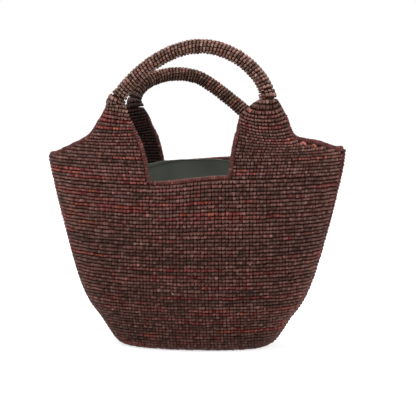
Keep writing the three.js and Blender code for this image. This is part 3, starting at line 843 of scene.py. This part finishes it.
def add_sleeve(fabric, handle, first, last, steps, place):
    """A tube painted dark with shade, and rounds of stitches over it, each round climbing to the next as it
    is worked.

    place puts points of the upright handle, at distances along it, where they are at rest.
    """
    places = np.linspace(first, last, steps)
    tube = handle_rings(handle, places, HANDLE_RADIUS - BACKING_DEPTH)
    fabric.rod(place(tube[:, :-1], places[:, None]))
    total = handle_length(handle)
    edges = np.linspace(first, last, int(round((last - first) / HANDLE_ROW_PITCH)) + 1)
    pitch = edges[1] - edges[0]
    share = np.linspace(0, 1, HANDLE_SIDES + 1)
    for number, low_edge in enumerate(edges[:-1]):
        low, high = (
            np.clip(low_edge + share * pitch + half, first, last) for half in (-pitch / 2, pitch / 2)
        )
        low_ring, high_ring, core_ring = (
            place(handle_rings(handle, where, radius, share * 2 * math.pi), where)
            for where, radius in (
                (low, HANDLE_RADIUS), (high, HANDLE_RADIUS), ((low + high) / 2, MIDDLE_RADIUS),
            )
        )
        add_row(
            fabric, low_ring, high_ring, (low_ring + high_ring) / 2 - core_ring, closed=True,
            count=HANDLE_STITCHES, start=number * ROUND_TWIST, shine=handle_shade(handle, low_edge, total),
            red=HANDLE_RED, **HANDLE_ROWS,
        )


def make_handle(name, materials):
    """The crocheted sleeve about the rope, between the two necks."""
    handle = HANDLES[name]

    def at_rest(points, _):
        return leaned(points, handle, handle["lean"])

    fabric = Fabric()
    add_sleeve(fabric, handle, NECK_ABOVE, handle_length(handle) - NECK_ABOVE, HANDLE_STEPS, at_rest)
    return fabric.build(f"{name}_handle_crochet", materials)


def make_neck(handle, end, materials):
    """The neck where a tab narrows into the start or end of a handle, bent with the handle's lean at rest.
    """
    tab_name = handle[f"{end}_tab"]
    tab = TABS[tab_name]
    _, _, upward, _ = handle_frame(handle)
    at_start = end == "start"
    total = handle_length(handle)

    def bent_from(points, above):
        share = smoothstep(above, -tab["neck_below"], NECK_ABOVE)
        return leaned(points, handle, handle["lean"] * share)

    def bent(points):
        return bent_from(points, dot(points - handle[end], upward))

    def bent_round(points, places):
        return bent_from(points, (places if at_start else total - places)[..., None])

    rows, columns = tab_rows(tab)
    rows = rows[-tab["neck_rows"] - 1:]

    def tab_rings(depth):
        outer, inner = both_faces(tab, rows, columns, depth)
        return np.concatenate([outer, inner[:, ::-1], outer[:, :1]], axis=1)

    fabric = Fabric()
    rings = tab_rings(0)
    middle = rings[:, :-1].mean(axis=1, keepdims=True)
    fabric.rod(bent(tab_rings(BACKING_DEPTH)[:, :-1]))
    shade = tab["neck_shade"] * handle["shade"]
    outward = bent(rings) - bent(middle)
    fabric_rows(fabric, bent(rings), outward, closed=True, shine=shade, **HANDLE_ROWS)
    low, high = (0, NECK_ABOVE) if at_start else (total - NECK_ABOVE, total)
    add_sleeve(fabric, handle, low, high, NECK_STEPS, bent_round)
    return fabric.build(f"{tab_name}_neck_crochet", materials)


# Rolls and ropes

def tube_rings(line, size, sides, start, stretch=1.0):
    """Rings square to a line, which turn no more than the line itself does.

    Each ring's first point lies towards start, and it is wider that way by stretch.
    """
    ahead = unit(np.gradient(line, axis=0))
    side = np.empty_like(ahead)
    reference = np.array(start, float)
    for number, direction in enumerate(ahead):
        reference = unit(reference - direction * (reference @ direction))
        side[number] = reference
    angle = np.linspace(0, 2 * math.pi, sides + 1)[:-1, None]
    spokes = np.cos(angle) * side[:, None] * stretch + np.sin(angle) * np.cross(ahead, side)[:, None]
    return line[:, None] + np.broadcast_to(size, len(line))[:, None, None] * spokes


ROPE_STRANDS = 3
ROPE_STRAND_RADIUS = 2.75
ROPE_STRAND_OFFSET = 3.2  # from the rope's middle to a strand's
ROPE_STRAND_SIDES = 8
ROPE_LAY = 30.0  # a strand goes once round the rope in this length
ROPE_STEPS = 160
ROPE_END = 8.0  # the rope stops this far above each neck's foot, so that the neck can bend


def make_rope(name, material):
    """The laid rope inside a handle, which keeps its sleeve round."""
    handle = HANDLES[name]
    places = np.linspace(ROPE_END, handle_length(handle) - ROPE_END, ROPE_STEPS)
    fabric = Fabric()
    for strand in range(ROPE_STRANDS):
        turns = 2 * math.pi * (places / ROPE_LAY + strand / ROPE_STRANDS)
        line = handle_rings(handle, places, ROPE_STRAND_OFFSET, turns, flared=False)
        line = leaned(line, handle, handle["lean"])
        fabric.rod(tube_rings(line, ROPE_STRAND_RADIUS, ROPE_STRAND_SIDES, [0, 1, 0]))
    return fabric.build(f"{name}_handle_rope", [material])


ROLL_SIDES = 12
ROLL_SAMPLES = 40
NO_ROLL_START = (0.1, 1, 0.2)  # no roll starts in this direction
FOOT_SAMPLES = 400
PATH_STEP = 1.0
PATH_SMOOTHING = 7  # a roll's corners are rounded over this many steps
EDGING_TOP = 0.82  # how far up a tab its rolls go
EDGING_SINKS_FROM = 0.5  # from here up they sink into the closing tab
EDGING_OFFSET = 2.3  # from the middle of the fabric's edge to the middle of the roll
EDGING_END_OFFSET = -1.5  # the same at the roll's top
EDGING_TAPER = 30.0  # a roll grows thinner over this distance before its ends
EDGING_END_SIZE = 0.7
SLOPE_STEP = 0.01  # an edge's direction is taken over this share of the way up, either way
BOTTOM_EDGING_LIFT = {FRONT: 0.0, BACK: 1.7}
RIM_FOOT = 4 / 15  # a rim's roll leaves the corner this far up the tab
RIM_RADIUS = 3.5
CORNER_LIFT = {LEFT: 0.4, RIGHT: 1.4}


def even_steps(path, count):
    """Points at even distances along a path, and those distances."""
    run = run_along(path)
    places = np.linspace(0, run[-1], count)
    return points_at(places, run, path), places


def add_roll(
    fabric, path, radius=EDGING_RADIUS, end_size=EDGING_END_SIZE, pitch=ROLL_PITCH, stitches=ROLL_STITCHES,
):
    """Adds a roll of slip stitch along a path, thinner at both ends where it joins the necks."""
    length = run_along(path)[-1]
    fine, _ = even_steps(path, int(length / PATH_STEP))
    padded = np.pad(fine, ((PATH_SMOOTHING // 2, PATH_SMOOTHING // 2), (0, 0)), mode="edge")
    kernel = np.ones(PATH_SMOOTHING) / PATH_SMOOTHING
    smooth = np.stack([np.convolve(column, kernel, mode="valid") for column in padded.T], axis=1)
    centre, places = even_steps(smooth, int(round(length / pitch)) * 2 + 1)
    from_end = np.minimum(places, places[-1] - places)
    size = radius * lerp(end_size, 1, smoothstep(from_end, 0, EDGING_TAPER))
    rings = tube_rings(centre, size, ROLL_SIDES, np.cross(centre[1] - centre[0], NO_ROLL_START))
    core = centre[:, None] + (rings - centre[:, None]) * ROLL_CORE_SHARE
    fabric.rod(core, slot=1, dye=ROLL_CORE_DYE, light=ROLL_CORE_LIGHT)
    rings = np.concatenate([rings, rings[:, :1]], axis=1)
    for number in range(0, len(places) - 2, 2):
        add_row(
            fabric, rings[number], rings[number + 2], rings[number] - centre[number], closed=True,
            count=stitches, start=number * ROUND_TWIST, red=ROLL_RED, lift=0, stitch=EDGING_STITCH,
        )


def tab_side(tab, across, ups):
    """The points of a stretch of roll beside one edge of a tab."""
    def faces(step=0.0):
        return [tab_face(tab, across, ups + step, inner) for inner in (False, True)]

    outer, inner = faces()
    later, earlier = (sum(faces(step)) / 2 for step in (SLOPE_STEP, -SLOPE_STEP))
    away = np.array([-tab["hand"], 0, 0] if across == 1 else [tab["hand"], 0, 1], float)
    outward = unit(np.cross(unit(later - earlier), unit(inner - outer)))
    outward = outward * np.sign(dot(outward, away))
    offset = lerp(EDGING_OFFSET, EDGING_END_OFFSET, smoothstep(ups, EDGING_SINKS_FROM, EDGING_TOP))
    return (outer + inner) / 2 + outward * offset[:, None]


def make_edging(name, materials, tabs, across, feet, bottom, radius=EDGING_RADIUS):
    """A roll that comes down the first tab's edge, follows the bottom and goes up the other tab's."""
    stretches = ((EDGING_TOP, feet[0]), (feet[1], EDGING_TOP))
    down, up = (
        tab_side(tab, across, np.linspace(*stretch, ROLL_SAMPLES)) for tab, stretch in zip(tabs, stretches)
    )
    fabric = Fabric()
    add_roll(fabric, np.concatenate([down, bottom, up]), radius)
    return fabric.build(name, materials)


def foot_share(tab):
    """How far up a tab its cut-out edge has risen to the middle of the roll along the bottom."""
    ups = np.linspace(0, 1, FOOT_SAMPLES)
    heights = cutout_edge(tab, ups)[:, 1]
    return float(np.interp(heights[0] + EDGING_OFFSET, heights, ups))


def make_cutout_edging(side, materials):
    tabs = [TABS[f"{SIDE_NAMES[side]}_{hand}"] for hand in HAND_NAMES.values()]
    distances = [cutout_edge(tab, np.zeros(1))[0, 0] - EDGING_OFFSET for tab in tabs]
    left, right = (angle_across(distance, row_height(side, 0.0)) for distance in distances)
    angles = np.linspace(-left, right, ROLL_SAMPLES)
    heights = row_height(side, angles) + EDGING_OFFSET + BOTTOM_EDGING_LIFT[side]
    bottom = wall_point(side, angles, heights, WALL_THICKNESS / 2)[1:-1]
    name = f"{SIDE_NAMES[side]}_cutout_edging_stitches"
    return make_edging(name, materials, tabs, 1, [foot_share(tab) for tab in tabs], bottom)


def make_rim_edging(hand, materials):
    tabs = [TABS[f"{side}_{HAND_NAMES[hand]}"] for side in SIDE_NAMES.values()]
    top = np.float64(CORNER_HEIGHT[hand] - EDGING_RADIUS + CORNER_LIFT[hand])
    stops = [(FRONT, PANEL_EDGE_ANGLE), (FRONT, math.pi / 2), (BACK, PANEL_EDGE_ANGLE)]
    corner = np.array([wall_point(side, hand * angle, top, WALL_THICKNESS / 2) for side, angle in stops])
    name = f"{HAND_NAMES[hand]}_rim_edging_stitches"
    return make_edging(name, materials, tabs, 0, (RIM_FOOT, RIM_FOOT), corner, RIM_RADIUS)


SEAM_RADIUS = 3.4
SEAM_DEPTH = {LEFT: 2.2, RIGHT: 1.4}  # from the walls' outer face to the middle of the seam's roll
SEAM_FOOT = 4.0
SEAM_PITCH = 4.4
SEAM_STITCHES = 4
SEAM_ROWS, SEAM_COLUMNS = 60, 7


def make_seam(hand, materials):
    """The raised column of stitches where front and back meet at a side corner, over its backing."""
    top = CORNER_HEIGHT[hand] + CORNER_LIFT[hand] - EDGING_RADIUS
    heights = np.linspace(SEAM_FOOT, top, SEAM_ROWS)
    shares = np.linspace(-1, 1, SEAM_COLUMNS)

    def strip(depth):
        angles = angle_beside_corner(heights[:, None], np.abs(shares) * SEAM_WIDTH / 2)
        front, back = (wall_point(side, hand * angles, heights[:, None], depth) for side in (FRONT, BACK))
        return np.where(shares[None, :, None] < 0, front, back)

    fabric = Fabric()
    fabric.shell(strip(BACKING_DEPTH), strip(WALL_THICKNESS))
    path = wall_point(FRONT, hand * math.pi / 2, heights, SEAM_DEPTH[hand])
    add_roll(fabric, path, SEAM_RADIUS, end_size=1.0, pitch=SEAM_PITCH, stitches=SEAM_STITCHES)
    return fabric.build(f"{HAND_NAMES[hand]}_side_seam_stitches", materials)


# Lining

LINING_COLUMNS = 140
LINING_ROWS = 62
LINING_HALF_WIDTH = 175.0  # at the cut-outs
HEM_ROWS = 19
HEM_ZONE = 9.0  # rows are close together in this depth below the top
HEM_STEP = 0.6
HEM_SHARES = (0, 0.2, 0.75, 0.95, 1.2, 1.6, 2.2)  # of the hem's width, where its painted highlight and painted shade are set
HEM_PAINTED_LIGHT = (0.8, 0.95, 1.0, 1.7, 0.6, 0.9, 1)
# Distances from the middle, how much higher the back's lining stands there than beside the tabs,
# and the width of the hem, which is folded over slantwise at the left
LINING_ACROSS = (-120, -73, -51, -28, 0, 17, 31, 60, 120)
LINING_RISE = (-3, -2.6, 2.1, 3.4, 1.6, 0, -2.2, -2, 0)
HEM_WIDTHS = (5, 4.8, 3.6, 1.2, 1, 1, 1, 2, 4.5)
# Soft folds: depth, how often they come across and up the cloth, and how much they bend
LINING_FOLDS = [(0.7, 31, 0, 3), (0.5, 57, 9, 0), (0.5, 6, 23, 0)]
FOLD_BENDS = 5
FOLD_ROOM = 1.7  # keeps the deepest fold clear of the wall
FOLD_FADE = 6  # folds fade out within a sixth of the height, at the top and at the foot
SIDE_FADE_POWER = 8
BASE_LINING_SHARES = np.linspace(1, 0.02, 12)  # sizes of its rings, from the edge to the middle
BASE_LINING_COLUMNS = 97


def lining_across(angle):
    return LINING_HALF_WIDTH * np.sin(angle)


def make_lining(side, material):
    """A satin panel that hangs inside the wall, with soft folds and a turned hem along its top."""
    share = np.linspace(-1, 1, LINING_COLUMNS)[None, :]
    turn = share * math.pi / 2
    rise = np.interp(lining_across(turn), LINING_ACROSS, LINING_RISE) if side == BACK else 0.0
    top = row_height(side, turn) + EDGING_ROOM - LINING_BELOW_RIM + rise
    below = np.linspace(HEM_ZONE, 0, HEM_ROWS)[:, None]
    height = np.linspace(0, 1, LINING_ROWS)[:-1, None] * (top - HEM_ZONE)
    height = np.concatenate([height, top - below])
    up = height / top
    angle = share * angle_beside_corner(height, SEAT_GAP / 2)
    folds = sum(
        depth * np.sin(share * across + up * along + bend * np.sin(up * FOLD_BENDS))
        for depth, across, along, bend in LINING_FOLDS
    )
    fade = np.clip((1 - up) * FOLD_FADE, 0, 1) * np.clip(up * FOLD_FADE, 0, 1) * (1 - share**SIDE_FADE_POWER)
    width = np.interp(lining_across(angle), LINING_ACROSS, HEM_WIDTHS)
    hem = HEM_STEP * (top - height < width)
    outside = WALL_THICKNESS + LINING_CLEARANCE + (folds + FOLD_ROOM) * fade
    outer = wall_point(side, angle, height, outside - hem)
    inner = wall_point(side, angle, height, outside + LINING_THICKNESS + hem)
    # painted highlight along the hem's lower edge and painted shade just under it
    light = np.interp((top - height) / width, HEM_SHARES, HEM_PAINTED_LIGHT)
    fabric = Fabric()
    fabric.shell(outer, inner, light=np.tile(light.ravel(), 2))
    return fabric.build(f"lining_{SIDE_NAMES[side]}_satin", [material])


def make_base_lining(material):
    inside = WALL_THICKNESS + LINING_CLEARANCE + LINING_THICKNESS
    half_width = wall_point(BACK, math.pi / 2, np.float64(0), inside)[0] - SEAT_GAP
    half_depth = wall_point(BACK, 0.0, np.float64(0), inside)[1] - SEAT_GAP
    low = float(wall_point(BACK, 0.0, np.float64(0), WALL_THICKNESS)[2]) + SEAT_GAP
    rings = [
        oval(half_width * share, half_depth * share, height, BASE_LINING_COLUMNS)[:-1]
        for height, shares in ((low, BASE_LINING_SHARES[::-1]), (low + LINING_THICKNESS, BASE_LINING_SHARES))
        for share in shares
    ]
    fabric = Fabric()
    # the rod's default light of one half paints this satin darker with painted shade
    fabric.rod(np.array(rings))
    return fabric.build("lining_base_satin", [material])


# Loose ends of raffia: where they stand, as distance across and height, with dye and length

FIBRE_ENDS = [
    (-113, 133, 0.97, 3), (-26, 133, 0.93, 3), (-1, 110, 0.8, 3), (-99, 108, 0.98, 2),
    (77, 115, 1.0, 3), (-17, 78, 1.0, 4), (-40, 63, 0.85, 3), (95, 58, 0.98, 3),
    (8, 57, 0.97, 2), (-57, 34, 0.96, 3), (8, 170, 0.9, 4), (40, 200, 0.93, 3),
]
FIBRE_ROOT, FIBRE_ORIGIN = 1.2, 4.0  # an end starts at the first depth and points away from the second
FIBRE_RADIUS = 0.28
FIBRE_WIDTH = 1.9  # a strand is a leaf strip, wider than it is thick
FIBRE_TAPER = 0.75
FIBRE_ARCH, FIBRE_ARCH_TURN = 2.0, 2.2  # its arch out of the fabric: height, and length in radians
FIBRE_ACROSS, FIBRE_UP = (-1, 1), (-0.6, 1)  # it drifts sideways and more often up than down
FIBRE_CURVE = 1.3
FIBRE_STEPS, FIBRE_SIDES = 5, 4
# painted highlight: the loose ends are drawn this much lighter
FIBRE_HIGHLIGHT = 1.9


def make_fibre_ends(materials):
    fabric = Fabric()
    share = np.linspace(0, 1, FIBRE_STEPS)[:, None]
    for across, height, dye, length in FIBRE_ENDS:
        height = np.float64(height)
        turn = angle_across(across, height)
        root, origin = (wall_point(FRONT, turn, height, depth) for depth in (FIBRE_ROOT, FIBRE_ORIGIN))
        out = unit(root - origin)
        drift = unit(np.array([rng.uniform(*FIBRE_ACROSS), 0, rng.uniform(*FIBRE_UP)]))
        line = root + out * FIBRE_ARCH * np.sin(share * FIBRE_ARCH_TURN)
        line = line + drift * length * share**FIBRE_CURVE
        size = FIBRE_RADIUS * (1 - FIBRE_TAPER * share[:, 0])
        rings = tube_rings(line, size, FIBRE_SIDES, np.cross(line[1] - line[0], out), FIBRE_WIDTH)
        fabric.rod(rings, dye=dye, light=FIBRE_HIGHLIGHT)
    return fabric.build("loose_raffia_ends", materials)


# Materials

def linear(code):
    """An sRGB hex colour as the linear colour that the shader wants."""
    channels = [int(code[i:i + 2], 16) / 255 for i in (1, 3, 5)]
    return tuple(c / 12.92 if c <= 0.04045 else ((c + 0.055) / 1.055) ** 2.4 for c in channels) + (1.0,)


def new_material(name):
    material = bpy.data.materials.new(name)
    material.use_nodes = True
    return material, material.node_tree, material.node_tree.nodes["Principled BSDF"]


def set_inputs(node, inputs):
    """Sets inputs by name or number: a socket is linked, anything else is their value."""
    for where, value in inputs.items():
        if isinstance(value, bpy.types.NodeSocket):
            node.id_data.links.new(value, node.inputs[where])
        else:
            node.inputs[where].default_value = value


def add_node(tree, kind, inputs, stops=(), output=0, **settings):
    """Adds a shader node with its settings, inputs and, for a ramp, stops. Gives one of its outputs."""
    node = tree.nodes.new(f"ShaderNode{kind}")
    for key, value in settings.items():
        setattr(node, key, value)
    set_inputs(node, inputs)
    if stops:
        elements = node.color_ramp.elements
        while len(elements) < len(stops):
            elements.new(0.5)
        for element, (position, code) in zip(elements, stops):
            element.position = position
            element.color = linear(code)
    return node.outputs[output]


RAFFIA_STOPS = [
    (0.0, "#432a24"), (0.2, "#5e4038"), (0.38, "#77534b"), (0.56, "#7d5049"), (0.7, "#824642"),
    (0.84, "#8c4340"), (0.93, "#9c5c42"), (1.0, "#bf9878"),
]
HANDLE_STOPS = [
    (0.0, "#4a3129"), (0.3, "#7d5f54"), (0.55, "#957266"), (0.75, "#8f5f54"), (0.9, "#a0644f"),
    (1.0, "#c4a189"),
]
EDGING_STOPS = [
    (0.0, "#3d211e"), (0.3, "#5c3531"), (0.6, "#70403c"), (0.8, "#7d403b"), (1.0, "#a97c6c"),
]
# painted shade: the raffia between the stitches is given these dark colours
PAINTED_GROOVE_STOPS = [(0.35, "#2b130f"), (0.7, "#44221b")]
SATIN_STOPS = [(0.3, "#5a5f56"), (0.7, "#6a6f65")]
ROPE_STOPS = [(0.3, "#8c7349"), (0.7, "#c9ae7d")]
RIB_SCALE = (2.2, 0.12, 1.0)  # ribs lie about 0.45 mm apart across a strand and run on for about 8 mm
RIB_LIGHT = (0.78, 1.22)
TANGLE_SCALE = (1 / (2 * MM),) * 3  # tangled strands about 2 mm wide
THREAD_SCALE = (0.4 / MM, 0.4 / MM, 2.0 / MM)  # 0.5 mm apart, coarser than real satin so that they show
CLOUD_SCALE = (1 / (60 * MM),) * 3
ROPE_FIBRE_SCALE = (0.3 / MM, 2.0 / MM, 0.3 / MM)  # about 0.5 mm wide
# painted shade is painted redder: saturation of the colour at the darkest level and at the lightest
GROOVE_SATURATION, BEAD_SATURATION = 1.45, 0.97


def grain(tree, scale, detail):
    """Noise that keeps its place on a piece, with a scale along each axis."""
    place = add_node(tree, "TexCoord", {}, output="Object")
    scaled = add_node(tree, "VectorMath", {0: place, 1: scale}, operation="MULTIPLY")
    return add_node(tree, "TexNoise", {"Vector": scaled, "Scale": 1.0, "Detail": detail})


def raffia_material(name, brightness, stops=RAFFIA_STOPS):
    """Dyed raffia, crocheted: each strand is a folded leaf strip with fine lengthwise ribs, so it is
    matt in the grooves and slightly glossy on the beads, and one dye runs on for many stitches. The
    light attribute paints each point's shade and light into its colour. The painted shade in the
    grooves is painted a deeper red, as light that reaches them has met dyed raffia on its way."""
    material, tree, shader = new_material(name)
    dye, light, fibre = (
        add_node(tree, "Attribute", {}, output=output, attribute_name=label)
        for label, output in (("dye", "Fac"), ("light", "Fac"), ("fibre", "Vector"))
    )
    place = add_node(tree, "VectorMath", {0: fibre, 1: RIB_SCALE}, operation="MULTIPLY")
    ribs = add_node(tree, "TexNoise", {"Vector": place, "Scale": 1.0, "Detail": 3.0})
    colour = add_node(tree, "ValToRGB", {"Fac": dye}, stops)
    darkest, lightest = (share * brightness for share in RIB_LIGHT)
    rib_light = add_node(tree, "MapRange", {
        "Value": ribs, "From Min": 0.3, "From Max": 0.7, "To Min": darkest, "To Max": lightest,
    })
    level = add_node(tree, "Math", {0: light, 1: rib_light}, operation="MULTIPLY")
    saturation = add_node(tree, "MapRange", {
        "Value": level, "From Min": 0.25, "From Max": 1.15,
        "To Min": GROOVE_SATURATION, "To Max": BEAD_SATURATION,
    })
    shade = {"Color": colour, "Value": level, "Saturation": saturation}
    bump = {"Height": ribs, "Distance": 0.25 * MM, "Strength": 0.6}
    set_inputs(shader, {
        "Base Color": add_node(tree, "HueSaturation", shade),
        "Roughness": add_node(tree, "MapRange", {"Value": ribs, "To Min": 0.72, "To Max": 0.5}),
        "Normal": add_node(tree, "Bump", bump),
        "IOR": 1.46,
    })
    return material


def backing_material():
    """The fabric's inside seen between stitches: the same raffia, matt and painted dark with shade."""
    material, tree, shader = new_material("raffia_grooves")
    strands = grain(tree, TANGLE_SCALE, 4.0)
    set_inputs(shader, {
        "Base Color": add_node(tree, "ValToRGB", {"Fac": strands}, PAINTED_GROOVE_STOPS),
        "Normal": add_node(tree, "Bump", {"Height": strands, "Distance": 0.5 * MM}),
        "Roughness": 0.9,
        "Specular IOR Level": 0.2,
    })
    return material


def satin_material():
    """Polyester satin: a smooth, close weave with a soft sheen and faint cross threads."""
    material, tree, shader = new_material("woven_polyester_satin")
    threads = grain(tree, THREAD_SCALE, 2.0)
    colour = add_node(tree, "ValToRGB", {"Fac": grain(tree, CLOUD_SCALE, 2.0)}, SATIN_STOPS)
    # the light attribute paints the hem's highlight and shade, and the base's shade, into the satin's colour
    light = add_node(tree, "Attribute", {}, output="Fac", attribute_name="light")
    bump = {"Height": threads, "Distance": 0.06 * MM, "Strength": 0.5}
    set_inputs(shader, {
        "Base Color": add_node(tree, "VectorMath", {0: colour, "Scale": light}, operation="SCALE"),
        "Normal": add_node(tree, "Bump", bump),
        "Roughness": add_node(tree, "MapRange", {"Value": threads, "To Min": 0.36, "To Max": 0.5}),
        "Sheen Weight": 0.25,
        "Sheen Roughness": 0.4,
        "IOR": 1.5,
    })
    return material


def rope_material():
    """Twisted plant-fibre rope: pale, matt, with strands laid at a slant."""
    material, tree, shader = new_material("twisted_plant_fibre_rope")
    fibres = grain(tree, ROPE_FIBRE_SCALE, 3.0)
    set_inputs(shader, {
        "Base Color": add_node(tree, "ValToRGB", {"Fac": fibres}, ROPE_STOPS),
        "Normal": add_node(tree, "Bump", {"Height": fibres, "Distance": 0.3 * MM}),
        "Roughness": 0.85,
    })
    return material


# Camera, light and floor

CAMERA_AZIMUTH = math.radians(6.5)
CAMERA_ELEVATION = math.radians(7.2)
CAMERA_DISTANCE = 2.2
CAMERA_TARGET = Vector((0.0165, 0.0, 0.176))
SENSOR_WIDTH = 36.0
PHOTO_WIDTH = 416
PIXEL_SIZE = 0.001267  # metres covered by one pixel at the target
# Lamps: name, place, what they are aimed at, diameter and power
LAMPS = [
    ("key_lamp", (-1.0, -1.2, 2.2), (0, 0, 0.18), 1.4, 26),
    ("top_lamp", (0.2, 0.2, 2.3), (0, 0, 0.2), 1.4, 23),
    ("fill_lamp", (1.8, -1.2, 1.3), (0, 0, 0.18), 1.2, 13),
]
AMBIENT = 0.38
FLOOR_GLOW = 0.74
FLOOR_HALF = 6.0


def aim(thing, place, direction):
    thing.location = place
    thing.rotation_euler = direction.to_track_quat("-Z", "Y").to_euler()


def make_camera():
    data = bpy.data.cameras.new("camera")
    data.sensor_width = SENSOR_WIDTH
    data.lens = SENSOR_WIDTH * CAMERA_DISTANCE / (PIXEL_SIZE * PHOTO_WIDTH)
    level = math.cos(CAMERA_ELEVATION)
    back = Vector((
        math.sin(CAMERA_AZIMUTH) * level, -math.cos(CAMERA_AZIMUTH) * level, math.sin(CAMERA_ELEVATION),
    ))
    camera = add_object("camera", data)
    aim(camera, CAMERA_TARGET + back * CAMERA_DISTANCE, -back)
    bpy.context.scene.camera = camera


def make_lamp(name, place, target, size, power):
    data = bpy.data.lights.new(name, "AREA")
    data.shape = "DISK"
    data.size = size
    data.energy = power
    aim(add_object(name, data), place, Vector(target) - Vector(place))


def seen_share(tree):
    """1 where the camera, a reflection or a view through glass meets the background, else 0."""
    rays = tree.nodes.new("ShaderNodeLightPath").outputs
    seen = rays["Is Camera Ray"]
    for ray in ("Is Glossy Ray", "Is Transmission Ray"):
        seen = add_node(tree, "Math", {0: seen, 1: rays[ray]}, operation="MAXIMUM")
    return seen


def make_world():
    world = bpy.data.worlds.new("studio")
    bpy.context.scene.world = world
    world.use_nodes = True
    tree = world.node_tree
    seen = {"Value": seen_share(tree), "To Min": AMBIENT, "To Max": 1.0}
    strength = add_node(tree, "MapRange", seen)
    set_inputs(tree.nodes["Background"], {"Color": (1, 1, 1, 1), "Strength": strength})


def make_floor():
    """A pale floor that glows for the camera alone, so that it shows white with the bag's soft shadow."""
    mesh = bpy.data.meshes.new("floor")
    corners = [(x * FLOOR_HALF, y * FLOOR_HALF, 0) for x, y in ((-1, -1), (1, -1), (1, 1), (-1, 1))]
    mesh.from_pydata(corners, [], [(0, 1, 2, 3)])
    material, tree, shader = new_material("white_paper_floor")
    glow = add_node(tree, "Math", {0: seen_share(tree), 1: FLOOR_GLOW}, operation="MULTIPLY")
    set_inputs(shader, {
        "Base Color": linear("#e6e6e6"), "Roughness": 1.0, "Specular IOR Level": 0.0,
        "Emission Color": (1, 1, 1, 1), "Emission Strength": glow,
    })
    mesh.materials.append(material)
    add_object("floor", mesh)


def dress(piece, body, slot, *nodes):
    """Puts a finished piece on its body, in place of the nodes that it stands for."""
    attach(piece, body)
    if nodes:
        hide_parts(*nodes)
    return piece


make_camera()
make_world()
make_floor()
for lamp in LAMPS:
    make_lamp(*lamp)

grooves = backing_material()
# The body, base and tabs are one raffia, and their brightness differs as painted light: the tabs lighter,
# the base darker
body_fabric = [grooves, raffia_material("crocheted_raffia_body", 1.1)]
base_fabric = [grooves, raffia_material("crocheted_raffia_base", 0.95)]
tab_fabric = [grooves, raffia_material("crocheted_raffia_tabs", 1.17)]
edging_fabric = [grooves, raffia_material("slip_stitched_raffia_edging", 1.05, EDGING_STOPS)]
handle_fabric = [grooves, raffia_material("crocheted_raffia_handles", 1.12, HANDLE_STOPS)]
satin = satin_material()
rope = rope_material()

for side, word in SIDE_NAMES.items():
    dress(make_wall(side, body_fabric), "bag", "raffia_body", f"{word}_panel")
dress(make_base(base_fabric), "bag", "raffia_base", "base_panel")
for hand, word in HAND_NAMES.items():
    dress(make_seam(hand, edging_fabric), "bag", "raffia_edging", f"{word}_side_seam")
    dress(make_rim_edging(hand, edging_fabric), "bag", "raffia_edging", f"{word}_rim_edging")
for name in TABS:
    dress(make_tab(name, tab_fabric), "bag", "raffia_tab", f"{name}_tab")
for side, word in SIDE_NAMES.items():
    dress(make_cutout_edging(side, edging_fabric), "bag", "raffia_edging", f"{word}_cutout_edging")
    lining = dress(make_lining(side, satin), "bag", "lining_satin", f"lining_{word}")
    sleeve = make_handle(word, handle_fabric)
    dress(sleeve, f"{word}_handle", "raffia_handle", f"{word}_handle_sleeve")
    dress(make_rope(word, rope), f"{word}_handle", "rope_core", f"{word}_handle_core")
base_lining = dress(make_base_lining(satin), "bag", "lining_satin", "lining_base")
dress(make_fibre_ends(tab_fabric[1:]), "bag", "raffia_body")

# Each neck is made, bent from below the tab's top to a place up the handle, and its transform baked
for word, handle in HANDLES.items():
    total = handle_length(handle)
    for end, place in (("start", NECK_ABOVE), ("end", total - NECK_ABOVE)):
        neck_piece = make_neck(handle, end, handle_fabric)
        ring = handle_rings(handle, np.array([place]), MIDDLE_RADIUS)
        above = (leaned(ring[0, 0], handle, handle["lean"]) - handle[end]) * BLEND_SHARE
        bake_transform(neck_piece)

bpy.context.scene.view_settings.view_transform = "Standard"
